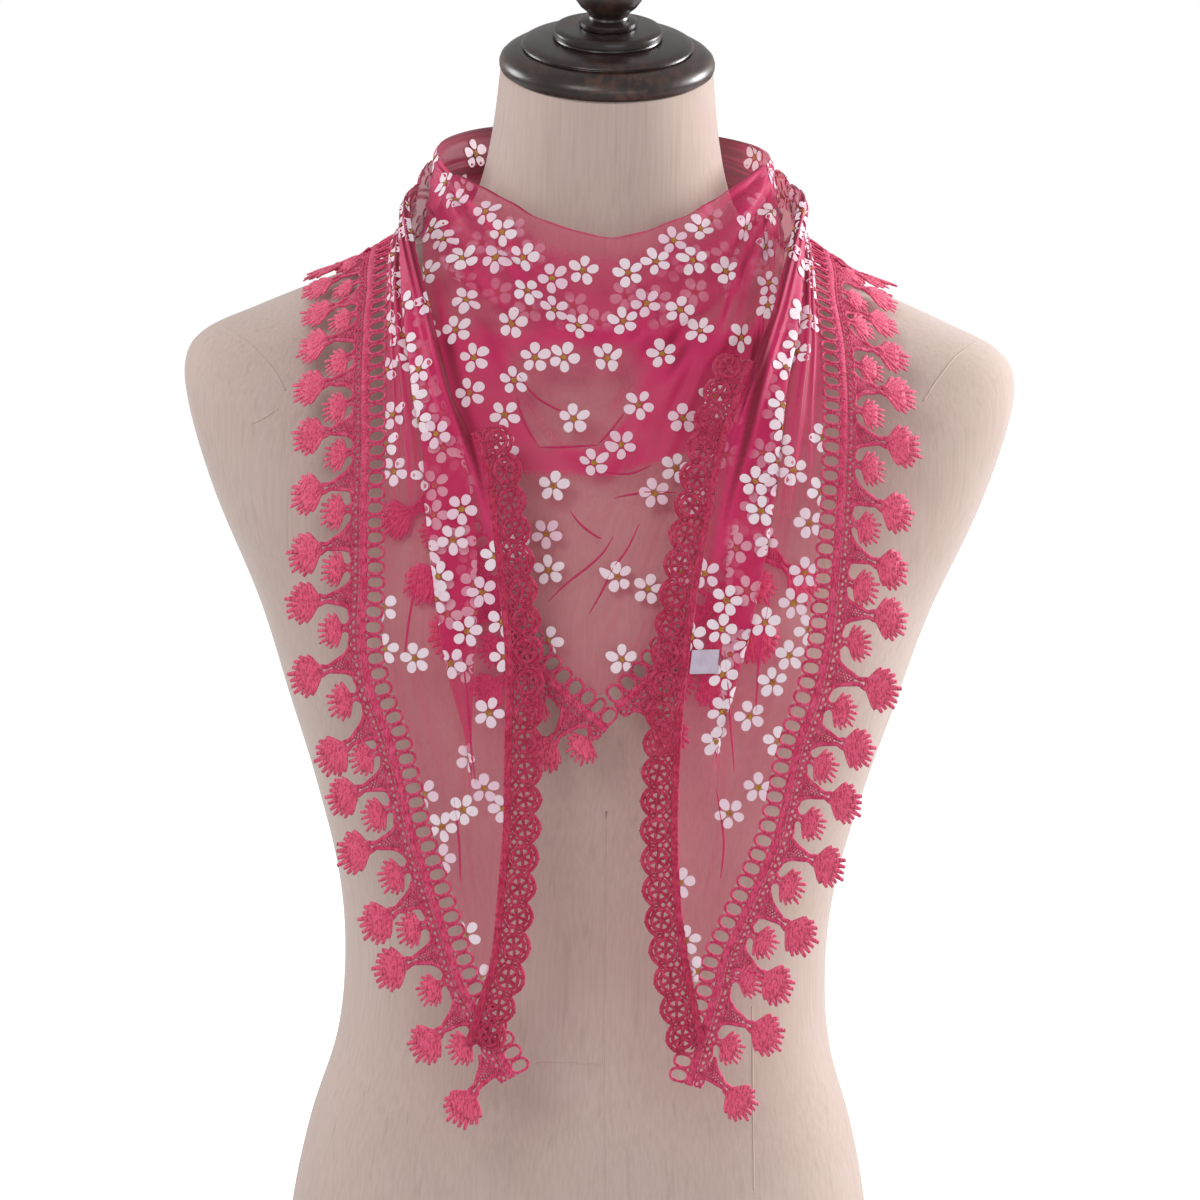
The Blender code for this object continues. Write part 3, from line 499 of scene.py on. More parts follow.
def sheet_normals(grid: np.ndarray) -> np.ndarray:
    """Return the outward normal at each point of a sheet."""
    normals = unit(np.cross(slopes(grid, 0), slopes(grid, 1)))
    middle = grid.reshape(-1, 3).mean(axis=0) * (1, 1, 0)
    return normals if (normals @ middle).sum() > 0 else -normals


def sheet_faces(rows: int, columns: int, turn: bool) -> list:
    """Return the faces of a grid of points, turned over where asked."""
    first = (np.arange(rows - 1)[:, None] * columns + np.arange(columns - 1)).ravel()
    faces = first[:, None] + (0, columns, columns + 1, 1)
    return (faces[:, ::-1] if turn else faces).tolist()


def sheet_tree(grid: np.ndarray) -> BVHTree:
    """Return a search tree of a sheet, with its faces turned outwards."""
    rows, columns = grid.shape[:2]
    i, j = rows // 2, columns // 2
    turn = np.cross(grid[i, j] - grid[i - 1, j], grid[i, j] - grid[i, j - 1])
    away = turn @ sheet_normals(grid)[i, j] <= 0
    return BVHTree.FromPolygons([Vector(p) for p in grid.reshape(-1, 3)],
                                sheet_faces(rows, columns, away))


def front_points(tree: BVHTree, line: Sequence, steps: int) -> np.ndarray:
    """Return the points of a surface on a smooth line, given as X and Z from the front."""
    hits = [tree.ray_cast(Vector((x * MM, -0.4, z * MM)), Vector((0, 1, 0)))[0]
            for x, z in bend_through(line, steps)]
    return np.array([spot for spot in hits if spot])


EDGE_REACH = 1.5          # sideways, past a lower sheet's edge
BEHIND_REACH = 22.0       # how far behind a lower sheet a point may start
SETTLE_ROUNDS = 14


def push_clear(point: Vector, layers: Iterable[Layer]) -> Vector:
    """Move a point out until it is clear of every layer beneath it."""
    for tree, gap, closed in layers:
        spot, normal, _, distance = tree.find_nearest(point)
        offset = point - spot
        side = offset.dot(normal)
        beside = (offset - normal * side).length > EDGE_REACH * MM
        if closed or (not beside and side > -BEHIND_REACH * MM):
            if side < gap * MM:
                point = point + normal * (gap * MM - side)
        elif distance < gap * MM:
            point = point + normal * (gap * MM - distance)
    return point


def push_all(points: np.ndarray, layers: Sequence[Layer]) -> np.ndarray:
    """Return points moved clear of the layers beneath them."""
    flat = points.reshape(-1, 3)
    return np.array([push_clear(Vector(p), layers) for p in flat]).reshape(points.shape)


def settle(grid: np.ndarray, layers: Sequence[Layer], plumb_from: float = 1.0) -> np.ndarray:
    """Rest a sheet on what lies beneath it, with the lift spread smoothly.

    Args:
        grid: The sheet's points.
        layers: What lies beneath it.
        plumb_from: The share of its rows from which it hangs free.

    Returns:
        The points of the sheet at rest.
    """
    lifts = np.zeros_like(grid)
    for _ in range(SETTLE_ROUNDS):
        spread = (lifts * 2 + around(lifts)) / 6
        for i in range(int(plumb_from * len(grid)), len(grid)):
            spread[i, :, 1] = np.minimum(spread[i, :, 1], spread[i - 1, :, 1])
        lifts = push_all(grid + spread, layers) - grid
    return grid + lifts


@dataclass(frozen=True)
class Fold:
    """A long fold: its place across, how far it wanders, and its size."""

    place: float
    drift: float
    width: float
    height: float
    begin: float
    end: float

    def at(self, along: np.ndarray, across: np.ndarray) -> np.ndarray:
        """Return the height of the fold at places on the sheet."""
        middle, half = (self.begin + self.end) / 2, (self.end - self.begin) / 2
        fade = np.minimum(1, 2 * bump((along - middle) / half))
        place = self.place + self.drift * np.sin(2 * np.pi * along)
        return self.height * fade * bump((across - place) / self.width)


def fold_heights(folds: Iterable[Fold], along: np.ndarray, across: np.ndarray) -> np.ndarray:
    """Return the height of some folds together at places on the sheet."""
    return sum(fold.at(along, across) for fold in folds)


@dataclass(frozen=True)
class Crease:
    """A sharp line pressed into the cloth, through points given as X and Z; one with no height is
    only a dark strip of painted shadow.
    """

    line: tuple
    height: float
    width: float
    dense: float
    steps: int = 64

    def near(self, points: np.ndarray, width: float) -> np.ndarray:
        """Return how near points lie to the crease, from 0 to 1, fading at its ends."""
        x, z = points[..., 0] / MM, points[..., 2] / MM
        best, place = np.full(x.shape, np.inf), np.zeros(x.shape)
        for k, (px, pz) in enumerate(bend_through(self.line, self.steps)):
            apart = np.hypot(x - px, z - pz)
            place = np.where(apart < best, k / (self.steps - 1), place)
            best = np.minimum(best, apart)
        return np.exp(-(best / width) ** 2) * np.sin(np.pi * np.clip(place, 0.02, 0.98)) ** 0.6


# ---------------------------------------------------------------- meshes and pieces


def mesh_of(name: str, source: BMesh) -> Mesh:
    """Return the mesh of a BMesh, which is freed."""
    data = bpy.data.meshes.new(name)
    source.to_mesh(data)
    source.free()
    return data


def pour(data: Mesh, whole: BMesh) -> None:
    """Add a mesh to a BMesh and remove it."""
    whole.from_mesh(data)
    bpy.data.meshes.remove(data)


def joined(cords: Iterable[BMesh]) -> BMesh:
    """Join cords into one mesh."""
    whole = bmesh.new()
    for cord in cords:
        pour(mesh_of("cord", cord), whole)
    return whole


def points_of(data: Mesh) -> np.ndarray:
    """Return the points of a mesh."""
    flat = np.empty(len(data.vertices) * 3, np.float32)
    data.vertices.foreach_get("co", flat)
    return flat.reshape(-1, 3)


def set_points(data: Mesh, points: np.ndarray, name: str, values: np.ndarray) -> None:
    """Set the points of a mesh, and a named value at each of them."""
    data.vertices.foreach_set("co", points.astype(np.float32).ravel())
    layer = data.attributes.new(name, "FLOAT", "POINT")
    layer.data.foreach_set("value", values.astype(np.float32))


def link(name: str, data: ID) -> Object:
    """Put an object with this data into the scene; return it."""
    item = bpy.data.objects.new(name, data)
    bpy.context.scene.collection.objects.link(item)
    return item


def add_piece(name: str, source: BMesh | Mesh, material: Material,
              replaces: Sequence[str] = ()) -> Object:
    """Make a piece of the part, which rides on its only body.

    Args:
        name: The piece's name.
        source: Its mesh.
        material: Its finish.
        replaces: CAD nodes that it stands for.

    Returns:
        The new object.
    """
    data = mesh_of(name, source) if isinstance(source, BMesh) else source
    data.materials.append(material)
    data.shade_smooth()
    piece = link(name, data)
    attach(piece, "root")
    if replaces:
        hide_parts(*replaces)
    LOG.info("%s: %d faces", name, len(data.polygons))
    return piece


def wrapped_grid(rings: np.ndarray, closed: bool = False) -> BMesh:
    """Wrap a grid round into a tube.

    Args:
        rings: Rings of points that go round the tube, in order.
        closed: Whether the last ring meets the first.

    Returns:
        The tube; a ring whose points fall together closes it.
    """
    count, sides = rings.shape[:2]
    steps = count if closed else count - 1
    tube = bmesh.new()
    bmesh.ops.create_grid(tube, x_segments=steps, y_segments=sides, size=0.5)
    for vertex in tube.verts:
        step = round((vertex.co.x + 0.5) * steps) % count
        side = round((vertex.co.y + 0.5) * sides) % sides
        vertex.co = rings[step, side]
    bmesh.ops.remove_doubles(tube, verts=tube.verts[:], dist=1e-5)
    return tube


def rings_round(points: np.ndarray, side: np.ndarray, up: np.ndarray, wide: np.ndarray,
                high: np.ndarray, sides: int) -> np.ndarray:
    """Return rings of points round a path.

    Args:
        points: The path's points.
        side: The direction to the side at each of them, or one for all.
        up: The direction upwards, likewise.
        wide: The ring's reach to the side, likewise.
        high: Its reach upwards, likewise.
        sides: How many points each ring has.

    Returns:
        The rings.
    """
    turn, count = circle(sides), len(points)
    wide, high = (np.broadcast_to(reach, count)[:, None] for reach in (wide, high))
    side, up = (np.broadcast_to(way, (count, 3))[:, None] for way in (side, up))
    return (points[:, None] + side * (np.cos(turn) * wide)[..., None]
            + up * (np.sin(turn) * high)[..., None])


class ClothSheet:
    """A fine grid of cloth: rows run down it or along it, columns across."""

    calm_rounds = 110

    def __init__(self, points: np.ndarray) -> None:
        """Keep the points and measure the cloth both ways."""
        self.points = points
        self.normals = self.calm = sheet_normals(points)
        self.down = lengths_along(points, 0)
        self.across = lengths_along(points, 1)
        self.density = np.ones(points.shape[:2])
        self.bare = np.zeros(points.shape[:2])

    def cells(self) -> np.ndarray:
        """Return the area of cloth at each point, in square metres."""
        down, across = slopes(self.points, 0) / 2, slopes(self.points, 1) / 2
        return np.linalg.norm(np.cross(down, across), axis=-1)

    def raise_by(self, heights: np.ndarray) -> None:
        """Move the points out by heights in millimetres."""
        self.points = self.points + self.normals * heights[..., None] * MM
        self.normals = sheet_normals(self.points)

    def gather(self, strength: float) -> None:
        """Let the cloth lie denser where its folds stand steep."""
        calm = self.points
        for _ in range(self.calm_rounds):
            calm = around(calm) / 4
        self.calm = sheet_normals(calm)
        turned = 1 - np.abs((self.normals * self.calm).sum(-1))
        self.density = self.density + strength * np.minimum(turned, 0.5)

    def press(self, creases: Iterable[Crease]) -> None:
        """Press creases into the cloth, where it also lies denser; a crease without height only
        paints a strip of shadow.
        """
        for crease in creases:
            self.raise_by(crease.near(self.points, crease.width) * crease.height)
            folded = crease.near(self.points, crease.width * 0.8) * crease.dense
            self.density = self.density + folded
            self.bare = np.maximum(self.bare, folded)

    def join_to(self, edge: np.ndarray, over: int) -> None:
        """Draw the first row onto another sheet's edge, and some rows after it along."""
        walked = lengths_along(edge, 0)
        first = points_at(np.linspace(0, walked[-1], self.points.shape[1]), walked, edge)
        drawn = (1 - ease(np.arange(len(self.points)), 0, over))[:, None, None]
        self.points = self.points + (first - self.points[0])[None] * drawn

    def walk(self, i: float, j: float, down: float, across: float) -> tuple[float, float]:
        """Return the place that lies some metres away, square to the rows and along them."""
        a, b = (min(max(round(v), 3), n - 4) for v, n in zip((i, j), self.points.shape))
        fall = unit(self.points[a + 3, b] - self.points[a - 3, b])
        side = unit(self.points[a, b + 3] - self.points[a, b - 3])
        lean = float(fall @ side)
        square = max(0.5, math.sqrt(1 - lean * lean))
        across, down = across - down * lean / square, down / square
        column, rows = self.down[:, round(j)], np.arange(len(self.points))
        i = float(np.interp(np.interp(i, rows, column) + down, column, rows))
        row, columns = self.across[round(i)], np.arange(self.points.shape[1])
        return i, float(np.interp(np.interp(j, columns, row) + across, row, columns))

    def spot(self, i: float, j: float) -> list[np.ndarray]:
        """Return the point and the normal at a fractional place."""
        a, b = min(int(i), len(self.points) - 2), min(int(j), self.points.shape[1] - 2)
        u, v = i - a, j - b
        found = []
        for grid in (self.points, self.normals):
            low, high = (grid[k, b] * (1 - v) + grid[k, b + 1] * v for k in (a, a + 1))
            found.append(low * (1 - u) + high * u)
        return found

    def mesh(self) -> Mesh:
        """Make the cloth's mesh, with its cut as UV and its density as an attribute."""
        rows, columns = self.points.shape[:2]
        grid = bmesh.new()
        bmesh.ops.create_grid(grid, x_segments=columns - 1, y_segments=rows - 1, size=0.5)
        data = mesh_of("cloth", grid)
        flat = points_of(data)
        i = np.rint((flat[:, 1] + 0.5) * (rows - 1)).astype(int)
        j = np.rint((flat[:, 0] + 0.5) * (columns - 1)).astype(int)
        set_points(data, self.points[i, j], "gathers", self.density[i, j])
        corners = np.empty(len(data.loops), np.int32)
        data.loops.foreach_get("vertex_index", corners)
        cut = np.stack([self.across[i, j], self.down[i, j]], axis=-1)[corners]
        data.uv_layers.new(name="cut").data.foreach_set("uv", cut.astype(np.float32).ravel())
        return data


def join_sheets(sheets: Sequence[ClothSheet]) -> BMesh:
    """Join sheets at their seams into one cloth that faces outwards."""
    whole = bmesh.new()
    for sheet in sheets:
        start = len(whole.faces)
        pour(sheet.mesh(), whole)
        whole.faces.ensure_lookup_table()
        whole.normal_update()
        rows, columns = sheet.points.shape[:2]
        i, j = rows // 2, columns // 2
        face = whole.faces[start + i * (columns - 1) + j]
        if face.normal.dot(Vector(sheet.normals[i, j])) < 0:
            bmesh.ops.reverse_faces(whole, faces=whole.faces[start:])
    bmesh.ops.remove_doubles(whole, verts=whole.verts[:], dist=0.02 * MM)
    return whole


# ---------------------------------------------------------------- dress form


@dataclass
class DressForm:
    """A limbless torso with a neck, covered in linen."""

    sections: tuple = (   # height, half width, front, back, squareness, lean
        (0, 141, 110, 118, 2.3, 0), (42, 138, 106, 112, 2.3, 0), (84, 130, 100, 98, 2.3, 0),
        (125, 118, 92, 84, 2.3, 0), (165, 115, 87, 76, 2.3, 0), (205, 119, 91, 76, 2.3, 0),
        (250, 131, 101, 82, 2.3, 0), (290, 144, 111, 88, 2.4, 0), (335, 159, 117, 92, 2.4, 0),
        (385, 181, 104, 95, 2.5, 0), (425, 194, 85, 92, 2.6, 0), (448, 196, 71, 87, 2.5, 0),
        (461, 187, 64, 81, 2.4, 0), (472, 164, 58, 75, 2.3, 0), (482, 141, 54, 70, 2.2, 0),
        (490, 121, 52, 65, 2.2, 1), (498, 99, 51, 61, 2.1, 2), (508, 79, 52, 58, 2.1, 3),
        (520, 65, 53, 55, 2.0, 5), (535, 58, 55, 52, 2.0, 7), (560, 53, 57, 48, 2.0, 11),
        (588, 50, 58, 42, 2.0, 15))
    rings: int = 170
    sides: int = 144
    bust_rise: float = 11.0
    bust_apart: float = 66.0
    bust_height: float = 338.0
    bust_wide: float = 44.0
    bust_tall: float = 50.0
    bust_fade: float = 1.6
    sharp_from: float = 50.0
    seam_points: int = 40
    seam_wide: float = 0.45
    seam_high: float = 0.22
    seams: tuple = (      # seams and darts of the cover, as X and Z on the front
        ((-190, 463), (-182, 464), (-174, 463), (-163, 457), (-152, 447), (-146, 438)),
        ((187, 467), (177, 465), (167, 460), (158, 450), (151, 440)),
        ((-162, 422), (-156, 425), (-149, 430)),
        ((8, 250), (9, 175), (9.5, 140), (10.5, 112), (11.5, 80), (13, 8)),
        ((-22, 128.7), (-10, 129.3), (0, 129.2), (9.5, 129)),
        ((78.8, 154), (79.7, 127), (80.5, 100), (81.7, 70)))
    tree: BVHTree | None = None

    def ring(self, section: np.ndarray) -> np.ndarray:
        """Return the points round a section, in metres."""
        height, half_width, front, back, squareness, lean = section
        across, deep_shade = np.cos(circle(self.sides)), np.sin(circle(self.sides))
        x = half_width * squared(across, 2 / squareness)
        y = np.where(deep_shade > 0, back, front) * squared(deep_shade, 2 / squareness)
        aside = (np.abs(x) - self.bust_apart) / self.bust_wide
        above = (height - self.bust_height) / self.bust_tall
        mound = self.bust_rise * np.exp(-aside ** 2 - above ** 2)
        y = y - mound * np.clip(-self.bust_fade * deep_shade, 0, 1)
        z = height + (y - (back - front) / 2) * math.tan(math.radians(lean))
        return np.stack([x, y, z], axis=-1) * MM

    def build(self, linen: Material) -> None:
        """Loft the torso and neck, and lay the seams of the cover on it."""
        rings = [self.ring(section) for section in bend_through(self.sections, self.rings)]
        body = wrapped_grid(np.array(rings))
        bmesh.ops.holes_fill(body, edges=[edge for edge in body.edges if edge.is_boundary])
        bmesh.ops.recalc_face_normals(body, faces=body.faces[:])
        body.normal_update()
        self.tree = BVHTree.FromBMesh(body)
        piece = add_piece("linen_form", body, linen, ["dress_form"])
        piece.data.set_sharp_from_angle(angle=math.radians(self.sharp_from))
        for index, seam in enumerate(self.seams):
            add_piece(f"cover_seam_{index + 1}", self.piping(seam), linen)

    def piping(self, seam: Sequence) -> BMesh:
        """Return the fine piping along a seam of the cover."""
        points = front_points(self.tree, seam, self.seam_points)
        normals = np.array([self.tree.find_nearest(Vector(p))[1] for p in points])
        side = unit(np.cross(unit(slopes(points, 0)), normals))
        fade = np.sin(np.pi * np.linspace(0, 1, len(points))) ** 0.3
        wide, high = self.seam_wide * MM, self.seam_high * fade * MM
        return wrapped_grid(rings_round(points, side, normals, wide, high, 6))


@dataclass
class NeckCap:
    """The turned wooden cap on the neck, and its ball knob."""

    cap: tuple = (        # radius and height, from the axis outwards and down
        (0, 21.5), (22.5, 21.5), (24.6, 21.1), (25.7, 20.1), (26.1, 18.6), (26.0, 17.3),
        (24.9, 16.8), (25.2, 16.1), (30, 15.7), (36, 14.8), (38.8, 14.1), (40.3, 13.2),
        (40.7, 12.5), (39.5, 11.9), (39.8, 11.4), (43, 10.9), (45.7, 9.8), (48.2, 8.2),
        (50.1, 6.2), (50.8, 4.2), (50.7, 2.4), (50.1, 0.8), (49, 0), (0, 0))
    knob: tuple = (
        (0, 33), (4, 32.7), (8, 31.5), (11.5, 29.4), (14.2, 26.6), (16.2, 23.4), (17, 20),
        (16.8, 16.5), (15.6, 13), (13.4, 9.9), (10.8, 7.7), (9.6, 6.3), (9.2, 5.2), (9.6, 4.2),
        (12.4, 3.7), (13.6, 2.8), (13.8, 1.3), (13.4, 0), (0, 0))
    foot: float = 0.3
    knob_foot: float = 22.1
    steps: int = 96
    sharp_from: float = 32.0

    def turn(self, name: str, profile: Sequence, height: float, form: DressForm,
             wood: Material, node: str) -> None:
        """Turn a profile round the neck's axis.

        Args:
            name: The piece's name.
            profile: Its radii and heights.
            height: Its foot over the top of the neck.
            form: The form, whose top leans.
            wood: Its finish.
            node: The CAD node that it stands for.
        """
        piece = bmesh.new()
        points = [piece.verts.new((radius * MM, 0, z * MM)) for radius, z in profile]
        for upper, lower in zip(points, points[1:]):
            piece.edges.new((upper, lower))
        bmesh.ops.spin(piece, geom=piece.verts[:] + piece.edges[:], cent=(0, 0, 0), axis=(0, 0, 1),
                       angle=2 * math.pi, steps=self.steps, use_merge=True)
        bmesh.ops.remove_doubles(piece, verts=piece.verts[:], dist=0.01 * MM)
        bmesh.ops.recalc_face_normals(piece, faces=piece.faces[:])
        top = form.sections[-1]
        lean = math.radians(top[5])
        axis = Vector((0, -math.sin(lean), math.cos(lean)))
        place = (Vector((0, (top[3] - top[2]) / 2, top[0])) + axis * height) * MM
        matrix = Matrix.Translation(place) @ Matrix.Rotation(lean, 4, "X")
        bmesh.ops.transform(piece, matrix=matrix, verts=piece.verts[:])
        made = add_piece(name, piece, wood, [node])
        made.data.set_sharp_from_angle(angle=math.radians(self.sharp_from))

    def build(self, form: DressForm, wood: Material) -> None:
        """Turn the cap and the knob."""
        self.turn("turned_cap", self.cap, self.foot, form, wood, "neck_cap")
        self.turn("ball_knob", self.knob, self.knob_foot, form, wood, "cap_knob")


# ---------------------------------------------------------------- the shawl

Stations = tuple          # rows of upper X, Y, Z and lower X, Y, Z; a tail's rows end in its lap


@dataclass
class Shawl:
    """The cloth: a bib, a turn round each side of the neck, two swaths behind and two tails."""

    form: DressForm
    bib: Stations = (
        (-71, -25, 538, -84, -42, 509), (-60, -37, 534, -82, -70, 480),
        (-49, -47, 529, -77, -93, 449), (-37, -57, 523, -66, -108, 412),
        (-25, -62, 518, -46, -117, 372), (-11, -65, 514, -23, -123, 334),
        (4, -66, 512, 3, -127, 307), (17, -64, 514, 26, -124, 331),
        (30, -59, 519, 49, -119, 358), (43, -52, 524, 68, -113, 386),
        (54, -42, 531, 79, -101, 428), (65, -31, 538, 83, -76, 474), (76, -15, 546, 85, -44, 507))
    turn_left: Stations = (
        bib[0], (-79, -2, 547, -85, -8, 508), (-74, 27, 553, -79, 27, 508),
        (-58, 48, 557, -60, 55, 509), (-38, 60, 558, -38, 68, 508))
    turn_right: Stations = (
        bib[-1], (78, 8, 549, 85, -8, 507), (71, 33, 552, 78, 29, 510),
        (56, 50, 555, 58, 56, 519), (37, 60, 557, 37, 65, 535))
    cross_over: Stations = (
        turn_right[-1], (15, 66, 552, 8, 75, 501), (-12, 66, 545, -19, 78, 478),
        (-40, 61, 540, -52, 76, 470), (-66, 47, 541, -84, 62, 476), (-81, 22, 541, -98, 34, 492),
        (-84, -6, 532, -98, -6, 507))
    cross_under: Stations = (
        turn_left[-1], (-14, 64, 551, -12, 74, 494), (12, 64, 538, 18, 76, 478),
        (40, 60, 523, 52, 74, 471), (64, 46, 531, 83, 62, 478), (78, 22, 541, 97, 34, 496),
        (80, -6, 535, 97, -6, 511))
    tail_left: Stations = (
        (*cross_over[-1], 0), (-84, -24, 525, -99, -30, 500, 3),
        (-81, -58, 502, -99, -60, 486, 7), (-74, -88, 472, -99, -84, 465, 11),
        (-66, -110, 442, -98, -106, 440, 15), (-54, -123, 417, -97, -119, 417, 21),
        (-48, -132, 391, -97, -128, 392, 25), (-43, -138, 358, -96, -134, 360, 24),
        (-39, -139, 320, -95, -136, 322, 17), (-39, -139, 286, -82, -137, 286, 6),
        (-39, -139, 250, -73, -138, 250, 0), (-41, -139, 215, -61, -138, 215, 0),
        (-43, -139, 188, -52, -139, 188, 0), (-45.5, -139, 177, -48, -139, 177, 0))
    tail_right: Stations = (
        (*cross_under[-1], 0), (80, -24, 528, 98, -30, 504, 3),
        (79, -58, 505, 99, -60, 489, 7), (74, -88, 474, 102, -84, 468, 10),
        (64, -110, 443, 103, -106, 444, 15), (57, -122, 419, 103, -118, 420, 20),
        (52, -131, 392, 102, -127, 394, 22), (47, -137, 360, 100, -134, 362, 20),
        (43, -139, 322, 96, -136, 324, 13), (41, -139, 287, 85, -137, 287, 4),
        (41, -139, 250, 78, -138, 250, 0), (43, -139, 217, 64, -138, 214, 0),
        (47, -139, 190, 54, -139, 190, 0), (49.5, -139, 178, 52, -139, 178, 0))
    bib_columns: int = 21
    bib_rows: int = 14
    crowding: float = 1.15
    hem_turn: float = 46.0
    hem_share: float = 0.72
    hem_room: float = 3.6
    hem_rows: tuple = (1.0, 0.55, 0.16)
    cloth_gap: float = 2.2
    tail_gap: float = 9.5
    layer_room: float = 6.6
    tail_room: float = 8.2
    swags: tuple = (      # drop, tilt, bow, width, height
        (0.10, 0.03, -0.02, 0.055, 4.5), (0.23, -0.04, 0.03, 0.060, 5.6),
        (0.37, 0.05, 0.02, 0.070, 5.4), (0.52, -0.06, 0.04, 0.080, 4.4),
        (0.70, 0.05, -0.03, 0.080, 3.0))
    pleats: tuple = (     # across, shift, layer: the lap takes a point sideways and up
        (0.00, 0.00, 0.0), (0.15, 0.00, 0.0), (0.30, 0.00, 0.0), (0.44, 0.18, 0.0),
        (0.53, 0.44, 0.0), (0.56, 0.54, 0.5), (0.59, 0.44, 1.0), (0.62, 0.00, 1.0),
        (0.65, -0.44, 1.0), (0.68, -0.54, 1.5), (0.71, -0.44, 2.0), (0.80, -0.18, 2.0),
        (0.90, 0.00, 2.0), (1.00, 0.00, 2.0))
    tail_rows: int = 23
    lap_layer: float = 2.7
    ridges: tuple = (     # the folds round the neck: place, drift, width, height
        (0.18, 0.04, 0.16, 3.8), (0.50, -0.05, 0.15, 3.2), (0.82, 0.03, 0.14, 3.6))
    tail_folds: tuple = (Fold(0.22, 0.05, 0.18, 3.4, 0, 0.62), Fold(0.86, 0.02, 0.16, 3.2, 0, 0.45),
                         Fold(0.30, -0.08, 0.22, 2.4, 0.45, 0.95))
    band_wrinkles: tuple = (Fold(0.34, 0.03, 0.06, 1.3, -1, 2), Fold(0.66, -0.04, 0.06, 1.4, -1, 2),
                            Fold(0.08, 0.02, 0.04, 1.0, -1, 2), Fold(0.93, 0.02, 0.04, 0.9, -1, 2))
    tail_wrinkles: tuple = (
        Fold(0.12, 0.03, 0.045, 1.3, -0.3, 0.60), Fold(0.32, -0.04, 0.05, 1.4, -0.3, 0.66),
        Fold(0.44, 0.02, 0.03, 1.0, -0.3, 0.50), Fold(0.80, 0.03, 0.04, 1.2, -0.3, 0.56),
        Fold(0.93, -0.02, 0.04, 1.0, -0.3, 0.50))
    bib_creases: tuple = (
        *(Crease(line, 1.9, 3.2, 0.2) for line in (
            ((-68, 521), (-52, 506), (-34, 495), (-12, 488)),
            ((-70, 506), (-54, 490), (-36, 477), (-10, 468)),
            ((-70, 488), (-56, 472), (-42, 458), (-30, 436)),
            ((66, 526), (46, 508), (28, 497), (10, 490)),
            ((70, 507), (54, 490), (38, 478), (18, 469)),
            ((73, 486), (60, 470), (48, 456), (40, 434)))),
        # These two have no height: dark strips of painted shadow, cast by the tails' inner edges on
        # the bib.
        Crease(((-78, 495), (-73, 476), (-67, 453), (-60, 431), (-52, 412), (-46, 394)),
               0.0, 4.0, 1.3),
        Crease(((73, 478), (71, 457), (66, 438), (60, 420), (55, 401)), 0.0, 4.0, 1.3))
    tail_creases: dict = field(default_factory=lambda: {
        "tail_left": (
            Crease(((-88, 440), (-86, 410), (-84, 380)), 1.0, 1.6, 0.4),
            # No height: a dark strip of painted shadow along the lap.
            Crease(((-82, 513), (-78, 495), (-74, 476), (-69, 453), (-62, 431), (-55, 412),
                    (-50, 394), (-46, 378)), 0.0, 3.8, 3.2)),
        "tail_right": (
            Crease(((88, 440), (87, 410), (86, 378)), 1.0, 1.6, 0.4),
            # No height: a dark strip of painted shadow along the lap.
            Crease(((77, 499), (76, 478), (74, 457), (70, 438), (66, 420), (61, 401), (57, 380),
                    (54, 361)), 0.0, 4.0, 2.8))})
    sheets: dict = field(default_factory=dict)
    coarse: dict = field(default_factory=dict)
    hem_steps: int = 0
    on_under: Layer | None = None
    bib_fine: tuple = (9, 10)
    band_fine: tuple = (9, 9)
    tail_fine: tuple = (12, 8)
    turn_size: tuple = (7, 9)
    cross_size: tuple = (12, 11)
    skin_gap: float = 0.7
    plumb_from: float = 0.52
    tail_drawn: int = 14
    ripple_height: float = 0.3
    bib_gather: float = 6.5
    band_gather: float = 4.5
    tail_gather: float = 6.0

    def stations_at(self, name: str, shares: np.ndarray) -> np.ndarray:
        """Return a stretch's stations at shares of the way along it."""
        table = np.array(getattr(self, name), float)
        return smooth_rows(table, shares * (len(table) - 1))

    def lines(self, first: np.ndarray, last: np.ndarray, shares: np.ndarray) -> np.ndarray:
        """Return points at shares of the way from each station's first edge to its last one."""
        return (first[:, None] + (last - first)[:, None] * shares[..., None]) * MM

    def clear(self, sheet: ClothSheet) -> None:
        """Move a finished sheet clear of the form."""
        sheet.points = push_all(sheet.points, [(self.form.tree, self.skin_gap, True)])

    def lay_bib(self) -> np.ndarray:
        """Lay the bib; return its smooth points."""
        down = (np.arange(self.bib_rows) / (self.bib_rows - 1)) ** self.crowding
        across = np.arange(self.bib_columns) / (self.bib_columns - 1)
        stations = self.stations_at("bib", 0.001 + across * 0.998)
        grid = self.lines(stations[:, :3], stations[:, 3:], down[None]).swapaxes(0, 1)
        smooth = settle(grid, [(self.form.tree, self.cloth_gap + self.hem_room + 0.8, True)])
        side = 2 * across[None, :] - 1
        rise = 0
        for drop, tilt, bow, width, height in self.swags:
            place = drop + tilt * side + bow * np.cos(3 * side)
            rise = rise + height * bump((down[:, None] - place) / width / 1.6) * (1 - side ** 6)
        rise = rise * np.minimum(1, 12 * down)[:, None]
        folded = smooth + sheet_normals(smooth) * rise[..., None] * MM
        self.coarse["bib"] = folded
        hem = self.turn_hem(ClothSheet(smooth))
        whole = ClothSheet(refine(np.concatenate([hem, folded]), *self.bib_fine))
        self.hem_steps = len(hem) * self.bib_fine[0]
        self.finish_bib(whole, self.hem_steps - self.bib_fine[0])
        return smooth

